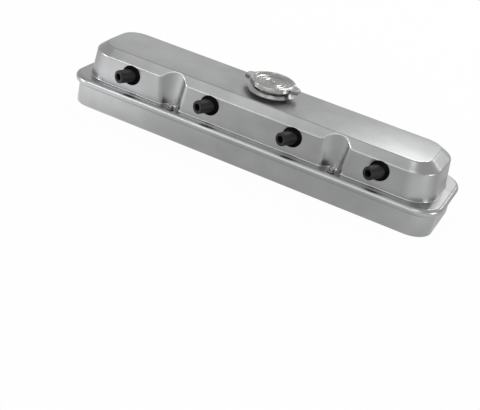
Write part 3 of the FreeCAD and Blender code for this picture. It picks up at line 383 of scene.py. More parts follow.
def skin(loops: Sequence[Loop], ends: bool = False, around: bool = False) -> Shape:
    """Joins closed loops of equal length with rows of quads.

    Args:
        loops: closed loops, anticlockwise seen from above and running up the outside.
        ends: closes the first and last loops with fans.
        around: joins the last loop back to the first.

    Returns:
        Points and faces.
    """
    count = len(loops[0])
    points = [np.asarray(loop, float) for loop in loops]
    rows = [(row, row + 1) for row in range(len(loops) - 1)]
    if around:
        rows.append((len(loops) - 1, 0))
    faces: list[tuple[int, ...]] = []
    for low, high in rows:
        a, b = low * count, high * count
        faces += [(a + i, a + (i + 1) % count, b + (i + 1) % count, b + i) for i in range(count)]
    if ends:
        first, last = len(loops) * count, len(loops) * count + 1
        points += [points[0].mean(0)[None, :], points[len(loops) - 1].mean(0)[None, :]]
        top = (len(loops) - 1) * count
        faces += [((i + 1) % count, i, first) for i in range(count)]
        faces += [(top + i, top + (i + 1) % count, last) for i in range(count)]
    return np.concatenate(points), faces


def joined(*parts: Shape) -> Shape:
    """Puts several shapes into one.

    Args:
        parts: the shapes.

    Returns:
        Points and faces.
    """
    points, faces, start = [], [], 0
    for some, shapes in parts:
        points.append(some)
        faces += [tuple(start + i for i in face) for face in shapes]
        start += len(some)
    return np.concatenate(points), faces


def flipped(shape: Shape) -> Shape:
    """The same shape with its faces turned over."""
    return shape[0], [face[::-1] for face in shape[1]]


def round_angles(count: int) -> np.ndarray:
    """Angles of points spaced evenly round a circle."""
    return np.linspace(0.0, 2.0 * math.pi, count, endpoint=False)


def lathe(profile: Sequence[tuple[float | Rule, float]], segments: int = 64, centre: Pair = (0.0, 0.0),
          ends: bool = False, around: bool = False) -> Shape:
    """Turns an outline about an upright line, in millimetres.

    Args:
        profile: height of each ring, after its radius or the radius's rule of the angle, up the outside.
        segments: points in each ring.
        centre: where the line stands.
        ends: closes both ends.
        around: joins the last ring to the first.

    Returns:
        Points and faces.
    """
    turn = round_angles(segments)
    loops = []
    for radius, z in profile:
        r = radius(turn) if callable(radius) else radius
        x, y = centre[0] + r * np.cos(turn), centre[1] + r * np.sin(turn)
        loops.append(np.stack([x, y, np.full(segments, z)], 1))
    return skin(loops, ends, around)


def hexagon(flat: float) -> Rule:
    """Radius rule of a hexagon, from the distance of its sides."""
    return lambda turn: flat / np.cos((turn + math.pi / 6) % (math.pi / 3) - math.pi / 6)


def cross(arm: float, half: float) -> Rule:
    """Radius rule of a cross.

    Args:
        arm: length of its arms.
        half: half their width.

    Returns:
        The rule.
    """
    def rule(turn: np.ndarray) -> np.ndarray:
        """Radius at each angle."""
        local = np.abs((turn + math.pi / 4) % (math.pi / 2) - math.pi / 4)
        return np.minimum(arm / np.cos(local), half / np.maximum(np.sin(local), 1e-3))
    return rule


def bend(first: Sequence[float], corner: Sequence[float], last: Sequence[float],
         steps: int) -> list[np.ndarray]:
    """Points of a smooth bend that leaves and meets its two straight runs without a kink.

    Args:
        first: where the bend starts.
        corner: where the two straight runs would meet.
        last: where it ends.
        steps: how many points after the first.

    Returns:
        The points, both ends among them.
    """
    a, b, c = (np.asarray(spot, float) for spot in (first, corner, last))
    return [(1 - t) ** 2 * a + 2 * t * (1 - t) * b + t ** 2 * c for t in np.linspace(0.0, 1.0, steps + 1)]


def fix_normals(obj: Object) -> None:
    """Turns every face of a closed mesh outwards.

    Args:
        obj: the piece.
    """
    work = bmesh.new()
    work.from_mesh(obj.data)
    bmesh.ops.recalc_face_normals(work, faces=work.faces)
    work.to_mesh(obj.data)
    work.free()


def bake(obj: Object) -> None:
    """Turns an object's modifiers into its mesh.

    Args:
        obj: the piece.
    """
    graph = bpy.context.evaluated_depsgraph_get()
    mesh = bpy.data.meshes.new_from_object(obj.evaluated_get(graph), preserve_all_data_layers=True,
                                           depsgraph=graph)
    obj.modifiers.clear()
    old = obj.data
    obj.data = mesh
    mesh.name = obj.name
    bpy.data.meshes.remove(old)


def settle(obj: Object, sharp: float = 38.0) -> None:
    """Gives a mesh even shading: smooth over small angles, sharp over large ones.

    Args:
        obj: the piece.
        sharp: angle in degrees from which an edge stays sharp.
    """
    obj.data.polygons.foreach_set("use_smooth", [True] * len(obj.data.polygons))
    obj.data.set_sharp_from_angle(angle=math.radians(sharp))
    even = obj.modifiers.new("even_shading", "WEIGHTED_NORMAL")
    even.keep_sharp = True
    even.weight = 50
    bake(obj)


def dress(obj: Object, material: Material, body: Body, slot: Slot, *nodes: str) -> None:
    """Gives a finished piece its finish and its body, and hides the solids that it stands for.

    Args:
        obj: the piece.
        material: its finish.
        body: the body that it rides on.
        slot: not used.
        nodes: solids that it replaces.
    """
    obj.data.materials.clear()
    obj.data.materials.append(material)
    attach(obj, body.value)
    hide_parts(*nodes)
    LOG.info("%s: %d faces on %s", obj.name, len(obj.data.polygons), body.value)


def dress_solid(node: str, name: str, edge: float, material: Material, body: Body, slot: Slot) -> None:
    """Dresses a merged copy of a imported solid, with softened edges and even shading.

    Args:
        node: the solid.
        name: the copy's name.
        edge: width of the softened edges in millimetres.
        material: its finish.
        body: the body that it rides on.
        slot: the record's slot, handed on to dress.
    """
    sharp = 32.0
    copy = bpy.data.objects.new(name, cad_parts[node].data.copy())
    copy.data.name = name
    bpy.context.scene.collection.objects.link(copy)
    work = bmesh.new()
    work.from_mesh(copy.data)
    bmesh.ops.remove_doubles(work, verts=work.verts, dist=2e-6)
    bmesh.ops.dissolve_limit(work, angle_limit=math.radians(0.5), verts=work.verts, edges=work.edges,
                             use_dissolve_boundaries=False, delimit={"NORMAL"})
    work.to_mesh(copy.data)
    work.free()
    soft = copy.modifiers.new("soft_edges", "BEVEL")
    soft.width = edge * MM
    soft.segments = 2
    soft.limit_method = "ANGLE"
    soft.angle_limit = math.radians(sharp)
    soft.use_clamp_overlap = True
    bake(copy)
    settle(copy, sharp)
    dress(copy, material, body, slot, node)


class RowTree(Tree):
    """Geometry Nodes tree that sets one piece on each of several places."""

    def __init__(self) -> None:
        """Builds the tree with its named inputs."""
        super().__init__(bpy.data.node_groups.new("pieces_on_places", "GeometryNodeTree"))
        face = self.tree.interface
        face.new_socket("Geometry", in_out="OUTPUT", socket_type="NodeSocketGeometry")
        kinds = {"Piece": "Object", "Places": "Object", "Finish": "Material", "Spin": "Float", "Seed": "Int"}
        self.inputs = {name: face.new_socket(name, in_out="INPUT", socket_type=f"NodeSocket{kind}").identifier
                       for name, kind in kinds.items()}
        start = self.add("NodeGroupInput").outputs
        piece, places = (self.add("GeometryNodeObjectInfo", {"Object": start[name]}).outputs["Geometry"]
                         for name in ("Piece", "Places"))
        spin = self.add("FunctionNodeRandomValue", {3: start["Spin"], "Seed": start["Seed"]},
                        data_type="FLOAT")
        turn = self.add("ShaderNodeCombineXYZ", {"Z": spin.outputs[1]}).outputs["Vector"]
        copies = self.add("GeometryNodeInstanceOnPoints", {"Points": places, "Instance": piece,
                                                           "Rotation": turn})
        real = self.add("GeometryNodeRealizeInstances", {"Geometry": copies.outputs["Instances"]})
        paint = self.add("GeometryNodeSetMaterial", {"Geometry": real.outputs["Geometry"],
                                                     "Material": start["Finish"]})
        self.add("NodeGroupOutput", {"Geometry": paint.outputs["Geometry"]})

    def spread(self, name: str, shape: Shape, places: Sequence[Triple], material: Material,
               spin: float = 0.0, seed: int = 3, sharp: float = 38.0) -> Object:
        """Copies a shape to several places.

        Args:
            name: name of the new piece.
            shape: the single piece, made about the origin.
            places: where each copy goes, in millimetres.
            material: the finish.
            spin: largest random turn about Z in radians.
            seed: seed of the random turn.
            sharp: angle in degrees from which an edge of the shape stays sharp.

        Returns:
            One plain mesh of all the copies.
        """
        piece = mesh_object(f"{name}_single", *shape)
        settle(piece, sharp)
        spots = mesh_object(f"{name}_places", np.array(places), [])
        host = mesh_object(name, np.zeros((1, 3)), [])
        rows = host.modifiers.new("rows", "NODES")
        rows.node_group = self.tree
        for key, value in (("Piece", piece), ("Places", spots), ("Finish", material),
                           ("Spin", spin), ("Seed", seed)):
            rows[self.inputs[key]] = value
        bake(host)
        for spare in (piece, spots):
            mesh = spare.data
            bpy.data.objects.remove(spare)
            bpy.data.meshes.remove(mesh)
        settle(host)
        return host


# Top cover


def outline(height: float, half_x: float, half_y: float, corner: float, shift: float = 0.0) -> np.ndarray:
    """Sizes of a rounded rectangle at one height, in millimetres, as one row."""
    return np.array([height, half_x, half_y, corner, shift])


@dataclass
class TopCover:
    """Crown with its lip, flutes, filler ring and screw pads, as one closed shell.

    The foot, the edge and the top each have a half length, a half width and a corner. A flute's half width
    and shoulder are given at the ledge and at the edge. The bends of the edge and the top take the given
    shares of the wall and the bevel. The dome fades in between two distances from the filler.
    """

    base: Triple = (243.7, 59.4, 26.5)
    lip_out: float = 5.3
    lip_low: float = 27.5
    ledge: float = 37.5
    lip_round: float = 5.0
    lip_under_round: float = 4.2
    lip_roll: float = 4.6
    wall: float = 3.0
    cove: float = 1.4
    foot: Triple = (234.9, 52.5, 34.0)
    edge: Triple = (231.5, 52.5, 35.0)
    edge_height: float = 72.5
    edge_bend: Pair = (0.035, 0.11)
    top: Triple = (218.1, 38.5, 22.0)
    top_shift: float = -4.5
    top_height: float = 83.8
    top_bend: float = 0.92
    top_rim: float = 1.1
    dome: float = 0.9
    dome_from: Pair = (24.6, 29.8)
    flute_x: Pair = (-107.0, 111.0)
    flute_depth: float = 8.6
    flute_half: Pair = (17.5, 22.0)
    flute_shoulder: Pair = (9.0, 11.0)
    flute_reach: float = 30.0
    rim_round: float = 1.4
    ring_foot: float = 29.8
    ring_side: Pair = (27.4, 24.4)
    ring_rim: float = 23.1
    ring_top: float = 88.5
    ring_bore: float = 16.55
    boot_x: tuple[float, ...] = (-165.05, -54.15, 56.75, 167.65)
    boot_height: float = 60.1
    boot_hole: float = 9.35
    pad: float = 8.0
    pad_x: Pair = (-104.0, 114.0)
    pad_y: float = -53.5

    def flute_share(self, height: float) -> float:
        """How far up the flutes a height lies, 0 at the ledge and 1 at the wall's upper edge."""
        return (height - self.ledge) / (self.edge_height - self.ledge)

    def flute_size(self, sizes: Pair, share: float) -> float:
        """A size of the flutes, a share of the way up."""
        return sizes[0] * (1 - share) + sizes[1] * share

    def front_places(self, height: float) -> np.ndarray:
        """X of every point along the front, close together in the flutes, whose sides they follow.

        Args:
            height: height above the rail.

        Returns:
            The places, from left to right.
        """
        coarse = np.arange(-150.0, 150.1, 5.0)
        keep = [x for x in coarse if all(abs(x - middle) > self.flute_reach for middle in self.flute_x)]
        share = min(max(self.flute_share(height), 0.0), 1.4)
        across = np.linspace(-1.2, 1.2, 121) * self.flute_size(self.flute_half, share)
        return np.sort(np.concatenate([keep, *(middle + across for middle in self.flute_x)]))

    def dip(self, x: np.ndarray, height: float) -> np.ndarray:
        """Depth of the flutes into the wall.

        Args:
            x: places along the front.
            height: height above the rail.

        Returns:
            The depth at each place.
        """
        share = self.flute_share(height)
        half, shoulder = (self.flute_size(sizes, share) for sizes in (self.flute_half, self.flute_shoulder))
        floor_and_painted_glow = (half ** 2 + self.flute_depth ** 2) / (2 * self.flute_depth)
        nose = floor_and_painted_glow - shoulder
        away = np.min([np.abs(x - middle) for middle in self.flute_x], axis=0)
        inner = self.flute_depth - nose + np.sqrt(np.maximum(nose ** 2 - away ** 2, 0.0))
        outer = shoulder - np.sqrt(np.maximum(shoulder ** 2 - (half - away) ** 2, 0.0))
        return np.where(away < half * nose / floor_and_painted_glow, inner, np.where(away < half, outer, 0.0))

    def loop(self, sizes: np.ndarray, flute: float | None = 0.0) -> Loop:
        """Closed loop of a rounded rectangle, with the flutes pressed into its front.

        Args:
            sizes: height, half length, half width, corner and shift.
            flute: how far the flute's wall is moved back, or None for no flutes.

        Returns:
            The points, anticlockwise seen from above.
        """
        height, a, b, r, s = sizes
        inner = a - r
        fixed = self.front_places(height)
        left = np.linspace(-inner, fixed[0], 13)[:-1]
        right = np.linspace(fixed[-1], inner, 13)[1:]
        x = np.concatenate([left, fixed, right])
        y = np.full(len(x), s - b)
        if flute is not None:
            depth = self.dip(x, height)
            wall = -self.foot[1] + depth + flute
            soft = np.minimum(self.rim_round, 1.2 * depth) if flute == 0.0 else np.zeros(len(x))
            share = np.maximum(soft - np.abs(wall - y), 0.0) / np.maximum(soft, 1e-6)
            near = np.where(soft > 1e-6, share, 0.0)
            y = np.where(depth > 1e-6, np.maximum(wall, y) + near ** 2 * soft / 4.0, y)
        rows = [np.stack([x, y], 1)]

        def arc(cx: float, cy: float, start: float, last: bool = False) -> np.ndarray:
            """Points of one corner after its first.

            Args:
                cx: X of the corner's middle.
                cy: Y of the corner's middle.
                start: angle in degrees where it begins.
                last: whether its own last point is left out.

            Returns:
                The points.
            """
            turn = np.radians(np.linspace(start, start + 90.0, 25))[1:]
            turn = turn[:-1] if last else turn
            return np.stack([cx + r * np.cos(turn), cy + r * np.sin(turn)], 1)

        def line(x0: float, y0: float, x1: float, y1: float, steps: int) -> np.ndarray:
            """Points of one straight side after its first."""
            t = np.linspace(0.0, 1.0, steps + 1)[1:, None]
            return np.array([[x0, y0]]) * (1 - t) + np.array([[x1, y1]]) * t

        low, high = s - b + r, s + b - r
        rows += [arc(inner, low, -90.0), line(a, low, a, high, 8), arc(inner, high, 0.0),
                 line(inner, s + b, -inner, s + b, 80), arc(-inner, high, 90.0),
                 line(-a, high, -a, low, 8), arc(-inner, low, 180.0, last=True)]
        plan = np.concatenate(rows)
        return np.column_stack([plan, np.full(len(plan), height)])

    def between(self, low: np.ndarray, high: np.ndarray, steps: int) -> list[Loop]:
        """Loops evenly between two outlines, both left out."""
        return [self.loop(low + (high - low) * share) for share in np.linspace(0.0, 1.0, steps + 1)[1:-1]]

    def circle(self, like: Loop, radius: float, height: float) -> Loop:
        """Circle whose points lie in the same directions as another loop's."""
        turn = np.arctan2(like[:, 1], like[:, 0])
        return np.column_stack([radius * np.cos(turn), radius * np.sin(turn), np.full(len(like), height)])

    def grown(self, by: float, height: float) -> np.ndarray:
        """Outline of the base, grown outwards, at a height."""
        return outline(height, *(size + by for size in self.base))

    def outside(self) -> list[Loop]:
        """Builds the outside, from the lip's lower edge up to the flat top.

        Returns:
            Its loops.
        """
        out, r, u = self.lip_out, self.lip_round, self.lip_under_round
        rows = [self.loop(self.grown(out - u + u * math.cos(t), self.lip_low + u - u * math.sin(t)), None)
                for t in np.linspace(math.pi / 2, 0.0, 10)]
        rows += [self.loop(self.grown(out - r + r * math.cos(t), self.ledge - r + r * math.sin(t)), None)
                 for t in np.linspace(0.0, math.pi / 2, 13)]
        foot = outline(self.ledge, *self.foot)
        flat = foot + np.array([0, self.cove, self.cove, self.cove, 0])
        rise = foot + np.array([self.cove, 0, 0, 0, 0])
        for size, share in zip(bend(flat, foot, rise, 5), (1.0, 0.64, 0.36, 0.16, 0.04, 0.0)):
            rows.append(self.loop(size, -self.cove * share if share > 0 else 0.0))
        edge = outline(self.edge_height, *self.edge)
        peak = outline(self.top_height, *self.top, self.top_shift)
        before = edge + (rise - edge) * self.edge_bend[0]
        after = edge + (peak - edge) * self.edge_bend[1]
        below = edge + (peak - edge) * self.top_bend
        inner = peak - np.array([0, self.top_rim, self.top_rim, self.top_rim, 0])
        rows += self.between(rise, before, 15)
        rows += [self.loop(size) for size in bend(before, edge, after, 7)]
        rows += self.between(after, below, 17)
        rows += [self.loop(size) for size in bend(below, peak, inner, 9)]
        return [self.domed(row) for row in rows]

    def domed(self, loop: Loop) -> Loop:
        """The loop lowered a little towards the top's long edges, so that the top is barely arched.

        Args:
            loop: points of one row.

        Returns:
            The lowered points.
        """
        high = np.clip((loop[:, 2] - self.edge_height) / (self.top_height - self.edge_height), 0.0, 1.0)
        near, far = self.dome_from
        away = np.clip((np.hypot(loop[:, 0], loop[:, 1]) - near) / (far - near), 0.0, 1.0)
        share = np.minimum(((loop[:, 1] - self.top_shift) / self.top[1]) ** 2, 1.2)
        lowered = loop.copy()
        lowered[:, 2] -= self.dome * share * high * away
        return lowered

    def filler_ring(self, like: Loop) -> list[Loop]:
        """Builds the raised ring, from the flat top over it and down its bore.

        Args:
            like: the flat top's loop.

        Returns:
            Its loops.
        """
        z, top, rim, bore = self.top_height, self.ring_top, self.ring_rim, self.ring_bore
        low, high = self.ring_side
        spots = bend((self.ring_foot, z), (low + 0.8, z), (low, z + 0.8), 6)
        spots += bend((high, top - 0.6), (rim + 0.8, top), (rim, top), 5)
        spots += [(bore + 0.5, top), (bore, top - 0.5), (bore, z - self.wall)]
        first = self.circle(like, self.ring_foot, z)
        flat = like.copy()
        flat[:, 2] = z
        rows = [flat * (1 - t) + first * t for t in np.linspace(0.0, 1.0, 10)[1:-1]]
        return [self.domed(row) for row in rows + [self.circle(like, r, height) for r, height in spots]]

    def inside(self) -> list[Loop]:
        """Builds the inside, from under the top down and out to the lip.

        Returns:
            Its loops.
        """
        w, low = self.wall, self.ledge - 2.5
        peak = outline(self.top_height - w, *(size - 1.2 for size in self.top), self.top_shift)
        edge = outline(self.edge_height - 1.2, *(size - w for size in self.edge))
        foot = outline(low, *(size - w for size in self.foot))
        rows = [peak + (edge - peak) * t for t in np.linspace(0.0, 1.0, 7)]
        rows += [edge + (foot - edge) * t for t in np.linspace(0.0, 1.0, 5)[1:]]
        hollow = self.lip_out - self.lip_roll
        return ([self.loop(size, w) for size in rows]
                + [self.loop(self.grown(hollow, height), None) for height in (low, self.lip_low)])

    def build(self, finishes: Finishes) -> None:
        """Makes the cover and dresses it.

        Args:
            finishes: the finishes of the cover.
        """
        outer = self.outside()
        shell = skin(outer + self.filler_ring(outer[-1]) + self.inside(), around=True)
        profile = [(self.pad, self.ledge - 1.0), (self.pad, self.ledge + 0.5),
                   (self.pad - 0.3, self.ledge + 0.8)]
        pads = [lathe(profile, 48, (x, self.pad_y), ends=True) for x in self.pad_x]
        cover = mesh_object("crown_shell", *joined(shell, *pads))
        points, faces = lathe([(self.boot_hole, -5.0), (self.boot_hole, 6.0)], 48, ends=True)
        points = np.column_stack([points[:, 0], points[:, 2], points[:, 1]])
        tools = [(points + [x, -self.foot[1], self.boot_height], faces) for x in self.boot_x]
        cutter = mesh_object("boot_hole_tool", *joined(*tools))
        fix_normals(cutter)
        holes = cover.modifiers.new("boot_holes", "BOOLEAN")
        holes.operation = "DIFFERENCE"
        holes.solver = "EXACT"
        holes.object = cutter
        bake(cover)
        bpy.data.objects.remove(cutter)
        settle(cover, 34.0)
        dress(cover, finishes.crown, Body.COVER, Slot.CAST, "top_cover")


# Pieces on the cover


@dataclass
class WireBoots:
    """Rubber boots whose tubes lean along the cover, each with a collar and a neck through the wall."""

    places: tuple[float, ...] = (-165.05, -54.15, 56.75, 167.65)
    front: float = -52.5
    height: float = 60.1
    lean: float = math.radians(23.0)
    flange: float = 12.6
    flange_thickness: float = 1.5
    tube: float = 8.4
    tip: float = 8.1
    bore: float = 4.4
    reach: float = 19.8
    neck: float = 9.3
    barb: float = 11.2
    wall: float = 3.0
    back: float = 4.5
    segments: int = 72

    def way(self) -> np.ndarray:
        """Direction of the tubes."""
        return np.array([-math.sin(self.lean), -math.cos(self.lean), 0.0])

    def ring(self, radius: float, along: float) -> Loop:
        """Circle square to the tube.

        Args:
            radius: its radius.
            along: how far along the tube it lies.

        Returns:
            The points.
        """
        across = np.array([math.cos(self.lean), -math.sin(self.lean), 0.0])
        turn = round_angles(self.segments)[:, None]
        up = np.array([0.0, 0.0, 1.0])
        return self.way() * along + radius * (across * np.cos(turn) + up * np.sin(turn))

    def slid(self, radius: float, depth: float) -> Loop:
        """Cut through the tube in an upright plane at a depth."""
        loop, way = self.ring(radius, 0.0), self.way()
        return loop + way * ((depth - loop[:, 1]) / way[1])[:, None]

    def disc(self, radius: float, depth: float) -> Loop:
        """Circle about the hole's own line at a depth."""
        turn = round_angles(self.segments)
        return np.stack([radius * np.cos(turn), np.full(len(turn), depth), radius * np.sin(turn)], 1)

    def build(self, finishes: Finishes, rows: RowTree) -> None:
        """Makes one boot and sets it in its four holes.

        Args:
            finishes: the finishes of the cover.
            rows: the tree that copies it.
        """
        thick, end, bore = self.flange_thickness, self.reach, self.bore
        tip, tube, flange = self.tip, self.tube, self.flange
        loops = [self.slid(bore, self.back), self.slid(bore, -2.0)]
        loops += [self.ring(r, along) for r, along in (
            (bore, end - 0.6), (bore + 0.15, end - 0.15), (bore + 0.5, end), (tip - 1.0, end),
            (tip - 0.35, end - 0.2), (tip, end - 0.9), (tip + 0.05, end - 4.0), (tube, 6.0))]
        loops += [self.slid(r, depth) for r, depth in (
            (tube, -thick - 1.2), (tube + 0.35, -thick - 0.35), (tube + 1.1, -thick))]
        loops += [self.disc(r, depth) for r, depth in (
            (flange - 1.2, -thick + 0.08), (flange - 0.4, -thick + 0.3), (flange, -thick + 0.9),
            (flange, 0.0), (self.neck, 0.0), (self.neck, self.wall), (self.barb, self.wall),
            (self.barb, self.back))]
        row = rows.spread("wire_boots", flipped(skin(loops, around=True)),
                          [(x, self.front, self.height) for x in self.places], finishes.rubber)
        fix_normals(row)
        settle(row)
        dress(row, finishes.rubber, Body.COVER, Slot.RUBBER, *(f"wire_boot_{i + 1}" for i in range(4)))


@dataclass
class CoverScrews:
    """Socket screws and washers at the feet of the flutes."""

    places: tuple[Pair, ...] = ((-104.0, -53.5), (114.0, -53.5))
    pad_top: float = 38.3
    washer: float = 4.9
    washer_hole: float = 2.1
    washer_thickness: float = 0.9
    head: float = 3.6
    head_height: float = 3.2
    shank: float = 2.0
    length: float = 17.0
    key: float = 1.4
    key_depth: float = 1.8

    def build(self, finishes: Finishes, rows: RowTree) -> None:
        """Makes both kinds and sets them in place.

        Args:
            finishes: the finishes of the cover.
            rows: the tree that copies them.
        """
        w, hole, t = self.washer, self.washer_hole, self.washer_thickness
        h, top, key = self.head, self.head_height, self.key
        washer = lathe([(hole, 0.1), (hole + 0.1, 0.0), (w - 0.15, 0.0), (w, 0.15), (w, t - 0.2),
                        (w - 0.2, t), (hole + 0.1, t), (hole, t - 0.1)], 64, around=True)
        screw = lathe([(self.shank, -self.length), (self.shank, 0.0), (h, 0.0), (h, top - 0.7),
                       (h - 0.15, top - 0.3), (h - 0.5, top), (key + 1.0, top), (hexagon(key + 0.12), top),
                       (hexagon(key), top - 0.15), (hexagon(key), top - self.key_depth)], 72, ends=True)
        for name, kind, shape, z, seed, sharp in (
                ("pad_washers", "washer", washer, self.pad_top, 5, 38.0),
                ("cover_screws", "screw", screw, self.pad_top + t, 8, 30.0)):
            spots = [(x, y, z) for x, y in self.places]
            row = rows.spread(name, shape, spots, finishes.plated, math.pi, seed, sharp)
            dress(row, finishes.plated, Body.COVER, Slot.PLATED, f"cover_{kind}_1", f"cover_{kind}_2")


@dataclass
class Underside:
    """Base casting with its baffle, the baffle's screws and the two sleeves."""

    low_row: tuple[float, ...] = (-180.0, -138.76, -84.76, -27.0, 27.0, 84.76, 138.76, 180.0)
    low_y: float = 43.4
    low_z: float = 10.0
    high_row: tuple[float, ...] = (-183.4, -111.76, 111.76, 183.4)
    high_y: float = 9.0
    high_z: float = 29.0
    head: float = 2.8
    head_height: float = 1.7
    slot_floor: Pair = (1.15, 0.28)
    slot_mouth: Pair = (1.45, 0.38)
    slot_depth: float = 1.1
    shank: float = 1.5
    length: float = 4.3
    sleeve_x: Pair = (-167.64, 167.64)
    sleeve: Pair = (8.8, 7.6)
    sleeve_ends: Pair = (25.5, 32.0)

    def build(self, finishes: Finishes, rows: RowTree) -> None:
        """Makes the pieces under the cover.

        Args:
            finishes: the finishes of the cover.
            rows: the tree that copies the small pieces.
        """
        dress_solid("base_casting", "base_shell", 0.45, finishes.base, Body.COVER, Slot.CAST)
        dress_solid("baffle_plate", "bent_baffle", 0.25, finishes.sheet, Body.COVER, Slot.SHEET)
        h, low, shank = self.head, -self.head_height, self.shank
        floor, mouth = cross(*self.slot_floor), cross(*self.slot_mouth)
        screw = lathe([(floor, low + self.slot_depth), (mouth, low + 0.02), (1.7, low),
                       (h * 0.75, low + 0.25), (h * 0.94, low + 0.75), (h, -0.25), (h, 0.0),
                       (shank, 0.0), (shank, self.length - 0.3), (shank - 0.3, self.length)], 48, ends=True)
        spots = [(x, self.low_y, self.low_z) for x in self.low_row]
        spots += [(x, self.high_y, self.high_z) for x in self.high_row]
        row = rows.spread("baffle_screws", screw, spots, finishes.plated, math.pi, 11, 30.0)
        dress(row, finishes.plated, Body.COVER, Slot.PLATED,
              *(f"baffle_screw_{i + 1:02d}" for i in range(12)))
        (outer, inner), (start, end) = self.sleeve, self.sleeve_ends
        tube = lathe([(inner, start + 0.3), (inner + 0.3, start), (outer - 0.3, start), (outer, start + 0.3),
                      (outer, end), (inner, end)], 96, around=True)
        row = rows.spread("bolt_sleeves", tube, [(x, 0.0, 0.0) for x in self.sleeve_x], finishes.turned,
                          sharp=30.0)
        dress(row, finishes.turned, Body.COVER, Slot.TURNED, "bolt_sleeve_1", "bolt_sleeve_2")


